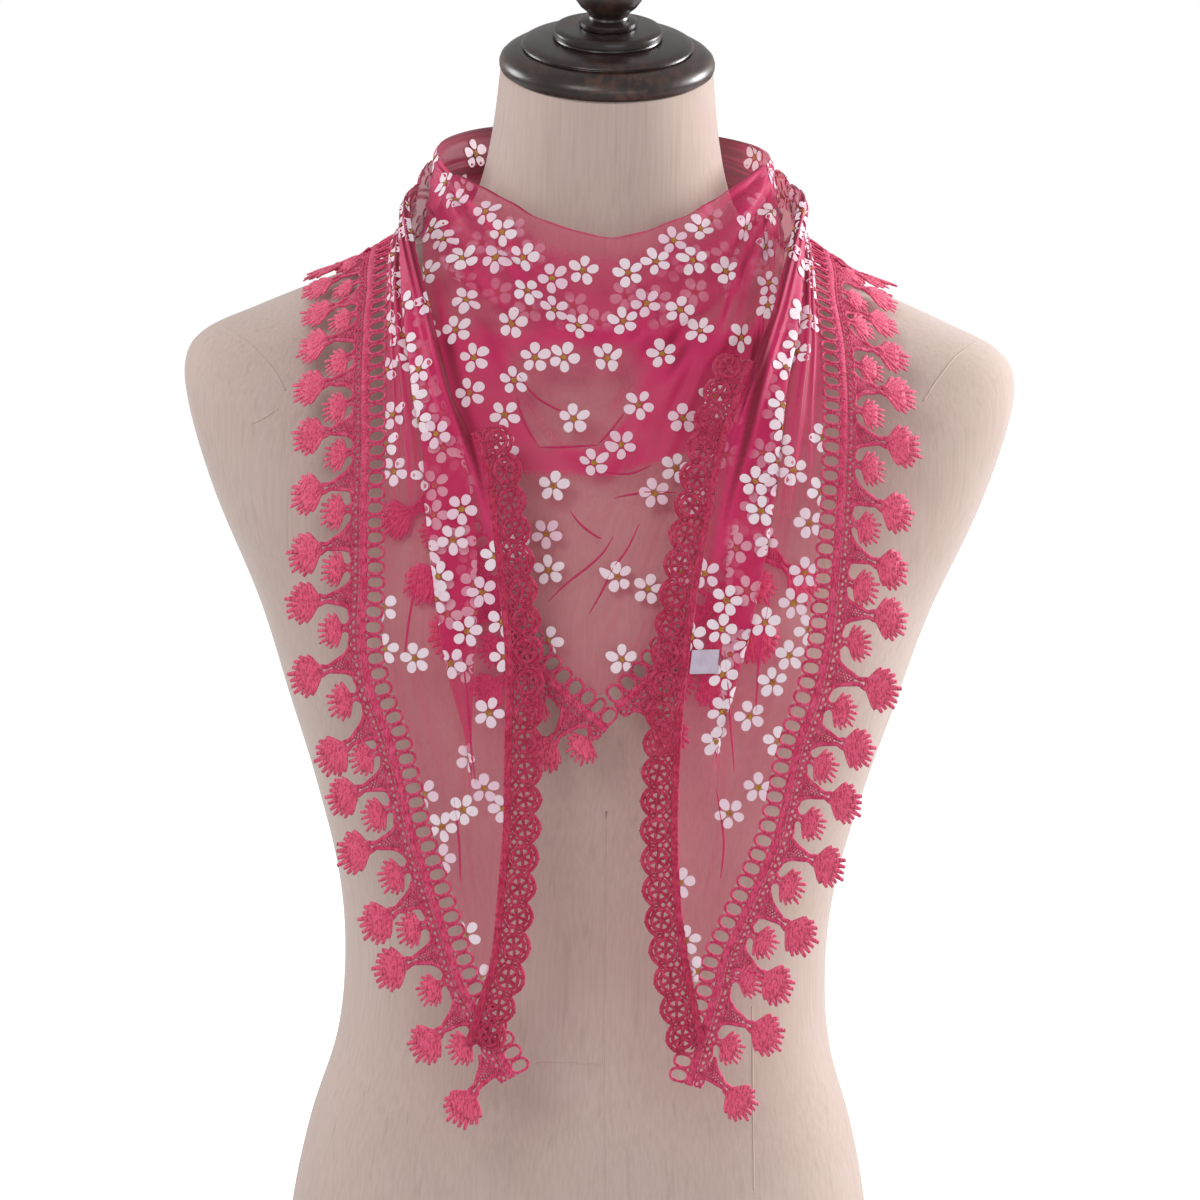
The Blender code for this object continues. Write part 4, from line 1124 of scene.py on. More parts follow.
    def turn_hem(self, sheet: ClothSheet) -> np.ndarray:
        """Return the rows of the edge that is turned to the inside, up to its crest."""
        hem, normals = [], sheet.normals
        for part in self.hem_rows:
            line = []
            for j in range(self.bib_columns):
                long = np.linalg.norm(sheet.points[-1, j] - sheet.points[0, j])
                reach = min(self.hem_turn * MM, self.hem_share * long)
                i = np.interp(part * reach, sheet.down[:, j], np.arange(self.bib_rows))
                point, normal = sheet.spot(i, j)
                line.append(point - normal * self.hem_room * MM)
            hem.append(line)
        way = unit(sheet.points[0] - sheet.points[1])
        hem.append(sheet.points[0] + (way * 1.6 - normals[0] * self.hem_room / 2) * MM)
        rows = np.array(hem)
        rows[:, 0] = rows[:, 0] * 0.75 + rows[:, 1] * 0.25
        rows[:, -1] = rows[:, -1] * 0.75 + rows[:, -2] * 0.25
        return rows

    def finish_bib(self, whole: ClothSheet, crest: int) -> None:
        """Press the bib's creases and say how dense it is; its front begins at the crest's row."""
        x, z = whole.points[..., 0] / MM, whole.points[..., 2] / MM
        front = (np.arange(len(whole.points)) >= crest)[:, None]
        low = np.interp(x, (-44, -33, 7, 23, 34, 47), (410, 407, 407, 412, 416, 419))
        high = np.interp(x, (-43, -19, 9, 27), (464, 467, 468, 467))
        left = np.interp(z, (418, 438, 452, 465), (-27, -37, -42, -43))
        right = np.interp(z, (420, 431, 439, 461, 468), (2, 12, 16, 18, 20))
        blur = 1 + 3 * ease(z, 432, 454)
        pocket = ease((x - left) / blur, -2, 1.5) * ease((right - x) / blur, -2, 1.5)
        pocket = pocket * ease(z, 417, 420) * ease(high - z, -5, 9)
        dark = ease(z - low, -1.5, 1.5) * (1 - pocket) * ease(high + 5 - z, -6, 6)
        dense = 1 + (1.35 * dark + 0.2 * pocket + 0.6 * ease(z, 440, 480)) * front
        strip = ease(np.abs(whole.down - whole.down[crest]) / MM, 9, 15)
        whole.density = np.where(front, dense, 0.25 + 0.75 * strip) * (0.88 + 0.12 * strip)
        self.ripple(whole, 0.35 - 0.25 * ease(np.abs(x), 46, 66))
        whole.gather(self.bib_gather)
        whole.press(self.bib_creases)
        self.clear(whole)
        self.sheets["bib"] = whole

    def ripple(self, sheet: ClothSheet, height: np.ndarray | float) -> None:
        """Give a sheet the slight unevenness of worn cloth."""
        u, v = sheet.across / MM, sheet.down / MM
        wave = np.sin(u / 5.3 + 1.7 * np.sin(v / 19)) * np.sin(v / 31 + np.sin(u / 23))
        wave = wave + 0.6 * np.sin(u / 3.1 - v / 47 + 2 * np.sin(v / 37))
        sheet.raise_by(height * wave)

    def lay_band(self, name: str, size: tuple[int, int], span: tuple[float, float],
                 layers: Sequence[Layer], sewn_to: np.ndarray,
                 deep_from: tuple = (0.35, 0)) -> Layer:
        """Lay a gathered stretch round the neck.

        Args:
            name: Its name.
            size: Its rows and columns.
            span: The shares of its length where its folds begin and end.
            layers: What lies beneath it.
            sewn_to: The fine edge of the stretch before it.
            deep_from: The shares of its length between which it grows dense, and dark with partly
                painted shade.

        Returns:
            The layer that it is for those on top.
        """
        rows, columns = size
        stations = self.stations_at(name, np.linspace(0.002, 0.998, rows))
        shares = np.linspace(0, 1, columns)[None]
        smooth = settle(self.lines(stations[:, :3], stations[:, 3:], shares), layers)
        rise = fold_heights([Fold(*ridge, *span) for ridge in self.ridges], *shares_of(smooth))
        self.coarse[name] = smooth + sheet_normals(smooth) * rise[..., None] * MM
        sheet = ClothSheet(refine(self.coarse[name], *self.band_fine))
        along, across = shares_of(sheet.points)
        sheet.raise_by(fold_heights(self.band_wrinkles, along, across))
        self.ripple(sheet, self.ripple_height)
        self.clear(sheet)
        sheet.join_to(sewn_to, self.band_fine[0])
        # Denser further along: stacked layers, and past a density of 2.4 also painted shade round
        # the back of the neck.
        sheet.density = sheet.density * (2.3 + 1.6 * ease(along, *deep_from))
        sheet.gather(self.band_gather)
        self.sheets[name] = sheet
        return sheet_tree(smooth), self.layer_room, False

    def lay_tail(self, name: str, layers: Sequence[Layer], sewn_to: np.ndarray) -> None:
        """Lay a hanging tail with a lap of cloth in it.

        Args:
            name: Its name.
            layers: What lies beneath it.
            sewn_to: The fine edge of the swath behind, inner edge first.
        """
        stations = bend_through(getattr(self, name), self.tail_rows)
        upper, lower, spare = stations[:, :3], stations[:, 3:6], stations[:, 6]
        width = np.maximum(np.linalg.norm(lower - upper, axis=-1), 1)
        pleats = np.array(self.pleats)
        shares = pleats[None, :, 0] + pleats[None, :, 1] * (spare / width)[:, None]
        smooth = settle(self.lines(lower, upper, shares), layers, self.plumb_from)
        normals = unit(np.cross(slopes(smooth, 0)[:, 0], smooth[:, -1] - smooth[:, 0]))
        normals = np.where(normals[:, 1:2] > 0, -normals, normals)
        for _ in range(4):
            padded = with_ends(normals)
            normals = unit(padded[:-2] + normals + padded[2:])
        along = np.linspace(0, 1, self.tail_rows)[:, None]
        apart = np.minimum(1, spare / 3)[:, None] * self.lap_layer
        flat = np.clip(spare / 6, 0, 1)[:, None]
        slope = 2 * np.clip((pleats[:, 0] - 0.53) / 0.18, 0, 1)[None]
        rise = (pleats[None, :, 2] * flat + slope * (1 - flat)) * apart
        room = np.minimum(1, width / 40)[:, None]
        rise = rise + fold_heights(self.tail_folds, along, pleats[None, :, 0]) * room
        self.coarse[name] = smooth + normals[:, None] * rise[..., None] * MM
        sheet = ClothSheet(refine(self.coarse[name], *self.tail_fine))
        along = shares_of(sheet.points)[0]
        across = bend_through(pleats[:, 0], sheet.points.shape[1])[None]
        free = ease(np.minimum(across, 1 - across), 0, 0.04)
        free = free * np.minimum(1, sheet.across[:, -1:] / MM / 40)
        sheet.raise_by(fold_heights(self.tail_wrinkles, along, across) * free)
        self.ripple(sheet, self.ripple_height)
        z = sheet.points[..., 2] / MM
        lap = bump((across - 0.62) / 0.13) * ease(z, 300, 350)
        sheet.density = 1.1 + 0.8 * ease(z, 390, 470) + 0.8 * ease(z, 470, 505) + 0.8 * lap
        sheet.gather(self.tail_gather)
        sheet.press(self.tail_creases[name])
        self.clear(sheet)
        sheet.join_to(sewn_to[::-1], self.tail_drawn)
        sheet.normals = sheet_normals(sheet.points)
        self.sheets[name] = sheet

    def lay(self) -> None:
        """Lay every stretch, from the innermost outwards."""
        on_form = (self.form.tree, self.cloth_gap, True)
        off_form = (self.form.tree, self.tail_gap, True)
        on_bib = (sheet_tree(self.lay_bib()), self.tail_room, False)
        front = self.sheets["bib"].points[self.hem_steps:]
        on_left = self.lay_band("turn_left", self.turn_size, (0, 2), [on_form], front[:, 0],
                                (0.3, 0.6))
        on_right = self.lay_band("turn_right", self.turn_size, (0, 2), [on_form], front[:, -1],
                                 (0.4, 0.8))
        self.on_under = self.lay_band("cross_under", self.cross_size, (-1, 1), [on_form, on_right],
                                      self.sheets["turn_left"].points[-1])
        self.lay_band("cross_over", self.cross_size, (-1, 1), [on_form, on_left, self.on_under],
                      self.sheets["turn_right"].points[-1])
        for tail, swath, beside in (("tail_left", "cross_over", on_left),
                                    ("tail_right", "cross_under", on_right)):
            self.lay_tail(tail, [off_form, on_bib, beside], self.sheets[swath].points[-1])

    def build(self, cloth: Material) -> dict[str, Object]:
        """Make the three pieces of cloth; return them by name."""
        made = {}
        for place, parts in (("bib", ("bib", "turn_left", "turn_right")),
                             ("left", ("cross_over", "tail_left")),
                             ("right", ("cross_under", "tail_right"))):
            sheets = [self.sheets[part] for part in parts]
            LOG.info("%s: area %.4f m2", place, sum(sheet.cells().sum() for sheet in sheets))
            name = place + "_cloth"
            made[name] = add_piece(name, join_sheets(sheets), cloth, parts)
        return made


@dataclass
class PinchedFolds:
    """Hairline folds that are pinched into the cloth where it pulls."""

    shawl: Shawl
    half_width: float = 0.55
    half_height: float = 0.1
    steps: int = 30
    proud: float = 0.25
    dense: float = 2.3
    lines: dict = field(default_factory=lambda: {      # X and Z of each, on the front
        "bib": (
            ((-21, 350), (-13, 358), (-3, 366), (4, 373), (8, 380)),
            ((-2, 345), (3, 354), (9, 366), (15, 375), (20, 386)),
            ((-12, 391), (-7, 385), (0, 380), (3, 379)),
            ((8, 397), (17, 399), (27, 400), (37, 400)),
            ((-38, 442), (-34, 430), (-27, 419)),
            ((-27, 419), (-14, 419), (0, 420)),
            ((-39, 453), (-30, 442), (-20, 436), (-15, 435)),
            ((0, 420), (6, 427), (12, 435)),
            ((3, 408), (15, 408), (25, 412))),
        "tail_left": (((-60, 332), (-57, 310), (-55, 290), (-52, 268)),
                      ((-80, 366), (-84, 342), (-86, 322)), ((-62, 262), (-59, 240), (-58, 222))),
        "tail_right": (((60, 332), (63, 304), (66, 276)), ((80, 356), (76, 328), (75, 302)),
                       ((58, 268), (62, 244), (61, 226)))})

    def build(self, name: str, part: str, cloth: Material) -> Object:
        """Pinch the folds of one sheet.

        Args:
            name: The piece's name.
            part: The sheet.
            cloth: Its finish.

        Returns:
            The folds as one piece.
        """
        start = self.shawl.hem_steps if part == "bib" else 0
        tree = sheet_tree(self.shawl.sheets[part].points[start:])
        cords = []
        for line in self.lines[part]:
            points = front_points(tree, line, self.steps)[:, (0, 2, 1)] * (1, 1, -1) / MM
            taper = np.sin(np.pi * np.linspace(0.04, 0.96, len(points))) ** 0.7
            path = points + (0, 0, self.proud)
            cords.append(tube(path, self.half_width * taper, self.half_height, 4))
        whole = joined(cords)
        upright = Matrix.Rotation(math.pi / 2, 4, "X") @ Matrix.Scale(MM, 4)
        bmesh.ops.transform(whole, verts=whole.verts[:], matrix=upright)
        layer = whole.verts.layers.float.new("gathers")
        for vertex in whole.verts:
            vertex[layer] = self.dense
        return add_piece(name, whole, cloth)


# ---------------------------------------------------------------- the print


@dataclass
class FlowerPrint:
    """Small five-petalled flowers, printed in loose clusters."""

    radius: float = 7.3
    petal_long: float = 5.7
    petal_wide: float = 4.6
    middle: float = 1.4
    lift: float = 0.34
    cluster_apart: float = 25.0
    cluster_reach: float = 19.0
    flowers_apart: float = 13.2
    bare_from: float = 1.3
    seed: int = 7
    side_apart: float = 20.0
    tries_each: int = 14
    crowd_tries: int = 40

    def scatter(self, sheet: ClothSheet, weight: Callable[[np.ndarray], float],
                rand: random.Random) -> list[tuple[float, float]]:
        """Choose places for flowers.

        Args:
            sheet: The cloth.
            weight: How crowded the print is at a point, from 0 to 1.
            rand: The source of chance.

        Returns:
            Places as rows and columns.
        """
        rows, columns = sheet.points.shape[:2]
        cells = sheet.cells()
        chances = np.cumsum(cells.ravel()) / cells.sum()
        centres, flowers, spots = [], [], []
        for _ in range(int(cells.sum() / (self.cluster_apart * MM) ** 2 * self.tries_each)):
            pick = int(np.searchsorted(chances, rand.random()))
            i, j = min(pick // columns, rows - 2), min(pick % columns, columns - 2)
            here = np.concatenate([sheet.points[i, j] / MM, sheet.calm[i, j] * self.side_apart])
            crowd = weight(sheet.points[i, j] / MM)
            if rand.random() > crowd or any(np.linalg.norm(here - other) < self.cluster_apart
                                            for other in centres):
                continue
            centres.append(here)
            wanted = max(1, round(rand.randint(3, 6) * crowd))
            for _ in range(self.crowd_tries):
                turn = rand.uniform(0, 2 * math.pi)
                reach = self.cluster_reach * math.sqrt(rand.random())
                place = sheet.walk(i, j, reach * math.cos(turn) * MM, reach * math.sin(turn) * MM)
                point, _ = sheet.spot(*place)
                calm = sheet.calm[round(place[0]), round(place[1])]
                there = np.concatenate([point / MM, calm * self.side_apart])
                if weight(point / MM) < 0.1 or self.on_bare(sheet, place):
                    continue
                if all(np.linalg.norm(there - other) > self.flowers_apart for other in spots):
                    spots.append(there)
                    flowers.append(place)
                    wanted -= 1
                if not wanted:
                    break
        return flowers

    def on_bare(self, sheet: ClothSheet, place: tuple[float, float]) -> bool:
        """Return whether a flower would reach into a crease that lies dense, such as the tails'
        dark strips of painted shadow.
        """
        rim = [sheet.walk(*place, 6 * math.cos(turn) * MM, 6 * math.sin(turn) * MM)
               for turn in range(6)]
        return any(sheet.bare[round(i), round(j)] > self.bare_from for i, j in (place, *rim))

    def outline(self, rand: random.Random) -> list[tuple[np.ndarray, float]]:
        """Return the outlines of a flower's petals and middle, each with its mark.

        A mark is 1 on the middle and 0 on a petal.
        """
        shapes = []
        start = rand.uniform(0, 2 * math.pi)
        angle = 2 * np.pi * (np.arange(12) + 0.5) / 12
        for petal in range(5):
            turn = start + petal * 2 * math.pi / 5 + rand.uniform(-0.09, 0.09)
            long = self.petal_long * rand.uniform(0.92, 1.06) / 2
            wide = self.petal_wide * rand.uniform(0.9, 1.06) / 2
            out = self.radius - long + long * np.cos(angle)
            side = wide * np.sin(angle) * (1 + 0.16 * np.cos(angle))
            shape = np.stack([out * math.cos(turn) - side * math.sin(turn),
                              out * math.sin(turn) + side * math.cos(turn)], axis=-1)
            shapes.append((shape, 0.0))
        angle = 2 * np.pi * np.arange(7) / 7 + start
        size = self.middle * np.array([rand.uniform(0.8, 1.2) for _ in range(7)])
        shapes.append((np.stack([size * np.cos(angle), size * np.sin(angle)], axis=-1), 1.0))
        return shapes

    def print_on(self, name: str, sheets: Sequence[tuple[ClothSheet, Callable]],
                 ink: Material) -> Object:
        """Print the flowers of a piece of cloth, which strike through to its other side.

        Args:
            name: The print's name.
            sheets: Its sheets, each with its weight of flowers.
            ink: The finish.

        Returns:
            The print's object.
        """
        rand = random.Random(self.seed)
        whole = bmesh.new()
        middle = whole.verts.layers.float.new("middle")
        blush = whole.verts.layers.float.new("blush")
        total = 0
        for sheet, weight in sheets:
            flowers = self.scatter(sheet, weight, rand)
            total += len(flowers)
            for i, j in flowers:
                tone = rand.random() ** 2
                for shape, mark in self.outline(rand):
                    count = len(shape)
                    flats = [*shape, shape.mean(axis=0)]
                    spots = [sheet.spot(*sheet.walk(i, j, *(flat * MM))) for flat in flats]
                    for lift in (self.lift + 0.12 * mark, -self.lift - 0.12 * mark):
                        made = bmesh.ops.create_circle(whole, cap_ends=True, cap_tris=True,
                                                       segments=count, radius=1)["verts"]
                        for vertex in made:
                            side = round(math.atan2(vertex.co.y, vertex.co.x) * count / 2 / math.pi)
                            point, normal = spots[side % count if vertex.co.length > 0.5 else count]
                            vertex.co = point + unit(normal) * lift * MM
                            vertex[middle] = mark
                            vertex[blush] = tone
        LOG.info("%s: %d flowers", name, total)
        return add_piece(name, whole, ink)


# ---------------------------------------------------------------- lace


def tube(path: Sequence, wide: object, high: object, sides: int, closed: bool = False) -> BMesh:
    """Make a cord that lies in the lace's plane, in millimetres.

    Args:
        path: Points as along, out and height.
        wide: Half its width, one for all or one for each point.
        high: Half its height, one for all or one for each point.
        sides: Sides round it.
        closed: Whether its ends meet.

    Returns:
        The cord.
    """
    points = np.asarray(path, float)
    points = np.pad(points, ((0, 0), (0, 3 - points.shape[1])))
    wide, high = (np.broadcast_to(np.asarray(reach, float), len(points)) for reach in (wide, high))
    if closed:
        ahead = np.roll(points, -1, 0) - np.roll(points, 1, 0)
    else:
        ahead, points = with_ends(slopes(points, 0)), with_ends(points)
        wide, high = np.pad(wide, 1), np.pad(high, 1)
    side = unit(ahead[:, (1, 0, 2)] * (-1, 1, 0))
    made = wrapped_grid(rings_round(points, side, np.array([0, 0, 1.0]), wide, high, sides), closed)
    bmesh.ops.recalc_face_normals(made, faces=made.faces[:])
    return made


def path_of(along: object, out: object, height: object = 0.0) -> np.ndarray:
    """Return a cord's points from where it is along the lace, how far out and how high."""
    return np.stack(np.broadcast_arrays(along, out, height), axis=-1)


class Motif:
    """A shape of cords in the lace's plane, made once and stitched many times."""

    def __init__(self, name: str, cords: Iterable[BMesh], satin_from: float = 99) -> None:
        """Gather the cords into one mesh; past satin_from outwards it is satin, smoother and with a
        painted sheen.
        """
        self.data = mesh_of(name, joined(cords))
        self.points = points_of(self.data).astype(float)
        self.satin = ease(self.points[:, 1], satin_from, satin_from + 4)

    def turned(self, pivot: tuple, angle: float, size: float, mirror: bool) -> np.ndarray:
        """Return its points turned in the plane and scaled about a pivot."""
        flat = self.points - (*pivot, 0)
        if mirror:
            flat = flat * (-1, 1, 1)
        cos, sin = math.cos(angle) * size, math.sin(angle) * size
        x = flat[:, 0] * cos - flat[:, 1] * sin
        y = flat[:, 0] * sin + flat[:, 1] * cos
        return np.stack([x + pivot[0], y + pivot[1], flat[:, 2]], axis=-1)


@dataclass
class Copy:
    """A motif stitched at a place: roots along the edge, then aside, out and height."""

    motif: Motif
    roots: np.ndarray
    aside: np.ndarray
    out: np.ndarray
    height: np.ndarray


def in_turn(cell: Motif, k: int, long: float, pitch: float, start: float = 0.0) -> Copy:
    """Return the k-th copy along an edge of a cell that is so long and is stretched to a pitch."""
    roots = start + (k + cell.points[:, 0] / long) * pitch
    return Copy(cell, roots, 0 * roots, cell.points[:, 1], cell.points[:, 2])


class EdgeStrip:
    """Frames along the edge of a sheet, on which a border is stitched."""

    band_edge = 15.5
    droop = math.radians(9)
    by = 8
    gap_from, gap_rise, gap_most = 1.2, 0.22, 4.6       # the gap beneath a border, further out

    def __init__(self, points: np.ndarray, inside: np.ndarray, run_on: float,
                 layers: Sequence[Layer], plumb: bool = False, turn_in: float = 0.0,
                 lay_on: BVHTree | None = None) -> None:
        """Work out the frames.

        Args:
            points: The edge of the cloth.
            inside: A point further in for each of them.
            run_on: Length of a straight end past the last one, in millimetres.
            layers: What the border must clear, beneath it.
            plumb: Whether the border hangs straight down.
            turn_in: How far the straight end turns away from the outward side, in degrees.
            lay_on: A surface that it follows where it is near.
        """
        along = unit(slopes(points, 0))
        outward = self.square((points - inside) * ((1, 0, 1) if plumb else (1, 1, 1)), along)
        for _ in range(4):
            padded = with_ends(outward)
            outward = self.square(padded[:-2] + outward * 2 + padded[2:], along)
        if run_on:
            turn = math.radians(turn_in)
            way = along[-1:] * math.cos(turn) - outward[-1:] * math.sin(turn)
            shares = np.array([0.1, 0.25, 0.4, 0.6, 0.8, 1])[:, None]
            points = np.concatenate([points, points[-1:] + way * run_on * MM * shares])
            along, outward = (np.concatenate([rows, *[rows[-1:]] * len(shares)])
                              for rows in (along, outward))
        if lay_on:
            outward = self.laid(points, along, outward, lay_on)
        places = np.linspace(0, len(points) - 1, (len(points) - 1) * self.by + 1)
        self.points = smooth_rows(points, places)
        self.along = unit(slopes(self.points, 0))
        self.outward = self.square(smooth_rows(outward, places), self.along)
        self.normal = np.cross(self.along, self.outward)
        facing = np.array([layers[0][0].find_nearest(Vector(p))[1] for p in self.points])
        if (facing * self.normal).sum() < 0:
            self.normal = -self.normal
        self.reach = lengths_along(self.points, 0)
        self.layers = layers

    def square(self, outward: np.ndarray, along: np.ndarray) -> np.ndarray:
        """Return outward directions made square to the edge."""
        return unit(outward - along * (outward * along).sum(-1, keepdims=True))

    def laid(self, points: np.ndarray, along: np.ndarray, outward: np.ndarray,
             tree: BVHTree) -> np.ndarray:
        """Turn the outward directions so that they lie along a surface, not into it."""
        rows = []
        for point, out in zip(points, outward):
            _, normal, _, distance = tree.find_nearest(Vector(point))
            dip = float(out @ normal)
            near = max(0.0, 1 - distance / 40 / MM) if dip < 0 else 0.0
            rows.append(out - np.array(normal) * dip * near)
        return self.square(np.array(rows), along)

    def length(self) -> float:
        """Return the strip's length in millimetres."""
        return float(self.reach[-1] / MM)

    def at(self, values: np.ndarray, roots: np.ndarray) -> np.ndarray:
        """Return a frame's values at roots along the edge, in millimetres."""
        return points_at(roots * MM, self.reach, values)

    def place(self, copy: Copy, droops: bool = True) -> np.ndarray:
        """Return the points of a stitched motif.

        Args:
            copy: The motif and where it goes.
            droops: Whether it sinks under its weight past the braid.

        Returns:
            The points in metres.
        """
        along, outward, normal = (unit(self.at(rows, copy.roots))
                                  for rows in (self.along, self.outward, self.normal))
        hanging = outward
        if droops:
            down = np.array([0, 0, -1.0]) + normal * normal[:, 2:]
            hanging = unit(outward * math.cos(self.droop) + unit(down) * math.sin(self.droop))
        near = np.minimum(copy.out, self.band_edge)[:, None]
        far = np.maximum(0, copy.out - self.band_edge)[:, None]
        flat = self.at(self.points, copy.roots) + (outward * near + hanging * far
                                                   + along * copy.aside[:, None]) * MM
        gaps = np.minimum(self.gap_most, self.gap_from + self.gap_rise * copy.out)
        placed = []
        for spot, gap in zip(flat, gaps):
            layers = [(tree, more + gap, closed) for tree, more, closed in self.layers]
            placed.append(push_clear(Vector(spot), layers))
        return np.array(placed) + normal * copy.height[:, None] * MM


def stitch(name: str, copies: Sequence[tuple[Copy, np.ndarray]], thread: Material,
           node: str) -> Object:
    """Stitch copies of motifs into one lace.

    Args:
        name: The lace's name.
        copies: The motifs' copies with their points in metres.
        thread: Its finish.
        node: The CAD node that it stands for.

    Returns:
        The lace's object.
    """
    whole = bmesh.new()
    for copy, _ in copies:
        whole.from_mesh(copy.motif.data)
    data = mesh_of(name, whole)
    set_points(data, np.concatenate([points for _, points in copies]),
               "satin", np.concatenate([copy.motif.satin for copy, _ in copies]))
    data.update()
    return add_piece(name, data, thread, [node])


@dataclass
class LeafLace:
    """Leaf lace: rings on a braid, with long and short leaf pendants in turn."""

    thread: Material
    ring_pitch: float = 6.8
    repeat: int = 4
    long_at: int = 1
    short_at: int = 3
    seed: int = 11
    net_from: float = 15.3
    turns: tuple = (-9, 9)
    sizes: tuple = (0.93, 1.01)
    curls: tuple = (-0.03, 0.05)

    def __post_init__(self) -> None:
        """Make the motifs."""
        self.cell = Motif("ring_cell", self.cell_cords())
        self.long = Motif("long_leaf", self.long_cords(), 29)
        self.short = Motif("short_leaf", self.short_cords(), 18)

    def cell_cords(self) -> list[BMesh]:
        """Return the cords of one cell: a ring, its stretch of braid and the cords beyond it."""
        p, s = self.ring_pitch, np.linspace(0, 1, 7)
        cos, sin = np.cos(circle(14)), np.sin(circle(14))
        ring = path_of(p / 2 + 3.05 * squared(cos, 0.85), 4.1 + 4.2 * squared(sin, 0.85),
                       0.25 * cos)
        cords = [tube(ring, 0.78, 0.6, 5, closed=True),
                 tube(path_of(s * (p + 0.1), 9.7), 1.85 + 0.22 * np.cos(4 * np.pi * s), 0.75, 8)]
        for way in (1, -1):
            wave = path_of(s * p, 13.3 + way * 1.25 * np.sin(2 * np.pi * s),
                           way * 0.2 * np.cos(2 * np.pi * s))
            cords.append(tube(wave, 0.6, 0.45, 4))
        for x, end in ((p * 0.5, 12.9), (0, 13.1)):
            cords.append(tube([(x, 11), (x, end)], 0.55, 0.42, 4))
        cords.append(tube(path_of(s * p, 15.4 - 0.4 * np.cos(2 * np.pi * s)), 0.65, 0.5, 4))
        return cords

    def fan(self, centre: tuple, count: int, spread: float, long: float) -> list[BMesh]:
        """Return a leaf: a flat palm and its fingers.

        Args:
            centre: Where the fingers spring from.
            count: How many.
            spread: The angle from the middle to the outermost, in degrees.
            long: From the centre to the tips.

        Returns:
            The cords.
        """
        palm = np.array(centre) + np.array([(0, y * long) for y in (0.02, 0.2, 0.38, 0.54, 0.66)])
        cords = [tube(palm, np.array([0.10, 0.26, 0.40, 0.45, 0.32]) * long * spread / 58, 0.45, 8)]
        for k in range(count):
            share = 2 * k / (count - 1) - 1
            angle = math.radians(spread) * share
            way = np.array([math.sin(angle), math.cos(angle), 0])
            reach = long * (1 - 0.3 * share ** 2 + 0.05 * math.sin(2.4 * k))
            s = np.linspace(0, 1, 6)
            path = (np.array([*centre, 0]) + way * (1 + (reach - 1) * s)[:, None]
                    + np.array([0, 0, 1.0]) * (0.14 * (-1) ** k - 0.5 * s ** 2)[:, None])
            path[:, 0] += 0.5 * s ** 2 * math.cos(angle) * share
            wide = np.array([0.45, 0.62, 0.8, 0.95, 1.0, 0.65]) * long / 14
            cords.append(tube(path, wide, np.array([0.5, 0.65, 0.7, 0.6, 0.5, 0.3]), 6))
        return cords

    def long_cords(self) -> list[BMesh]:
        """Return the cords of a long leaf: a net triangle, a twisted stem, an eye and a fan."""
        cords = []
        border = bend_through(
            [(7.2, 15.3), (4.9, 17.6), (3.5, 20.2), (2.7, 22.6), (1.9, 25), (1.2, 27),
             (1.3, 28.6), (2.0, 30.2), (2.0, 31.8), (1.0, 33.2), (0, 33.6)], 20)
        twist = 0.3 * np.cos(np.linspace(0, 5 * np.pi, 20))
        for side in (-1, 1):
            path = path_of(border[:, 0] * side, border[:, 1], side * twist)
            cords.append(tube(path, 1.2, 0.65, 5))
        for low in (15.0, 16.2, 17.4, 18.8, 20.4, 22.2):
            near, far = np.interp((low, low + 4), (15, 17.6, 20.8, 24, 27),
                                  (6.8, 4.6, 3.1, 2.2, 1.2))
            for side in (-1, 1):
                bar = [(-side * near, low), (0, low + 2.3), (side * far, low + 4)]
                cords.append(tube(bar, 0.5, 0.34, 3))
        for x in (-3.6, 0.0, 3.6):
            cords.append(tube([(x, 15), (x * 0.4, 19)], 0.42, 0.32, 3))
        return cords + self.fan((0, 29.8), 11, 52, 17.4)

    def short_cords(self) -> list[BMesh]:
        """Return the cords of a short leaf: a stem, an eye and a fan."""
        path = bend_through([(3.0, 15.2), (1.5, 16.6), (1.0, 18), (1.7, 19.6), (1.6, 21.2),
                             (0, 22.3)], 11)
        stems = [tube(path * (side, 1), 0.95, 0.65, 5) for side in (-1, 1)]
        return stems + self.fan((0, 18.6), 10, 62, 13.0)

    def sew(self, name: str, strip: EdgeStrip, node: str, start: float = 0.0,
            fanned: float = 0.0) -> Object:
        """Sew the lace along an edge.

        Args:
            name: Its name.
            strip: The edge.
            node: The CAD node that it stands for.
            start: Where it begins, in millimetres.
            fanned: How far the last leaf turns towards the end, in degrees.

        Returns:
            The lace's object.
        """
        rand = random.Random(self.seed + len(name))
        length = strip.length() - start
        cells = int(length / self.ring_pitch)
        pitch = length / cells
        copies = []
        for k in range(cells):
            copies.append(in_turn(self.cell, k, self.ring_pitch, pitch, start))
            turn_at = (cells - 1 - k if fanned else k) % self.repeat
            leaf = {self.long_at: self.long, self.short_at: self.short}.get(turn_at)
            if leaf is None:
                continue
            turn, size = math.radians(rand.uniform(*self.turns)), rand.uniform(*self.sizes)
            turn -= math.radians(fanned) * float(ease(k, cells - 6, cells - 1))
            points = leaf.turned((0, self.net_from), turn, size, rand.random() < 0.5)
            curl = rand.uniform(*self.curls)
            height = points[:, 2] + curl * np.maximum(0, points[:, 1] - 20) ** 2 / 12
            roots = np.full(len(points), start + (k + 0.5) * pitch)
            copies.append(Copy(leaf, roots, points[:, 0], points[:, 1] - 0.5, height))
        return stitch(name, [(copy, strip.place(copy)) for copy in copies], self.thread, node)


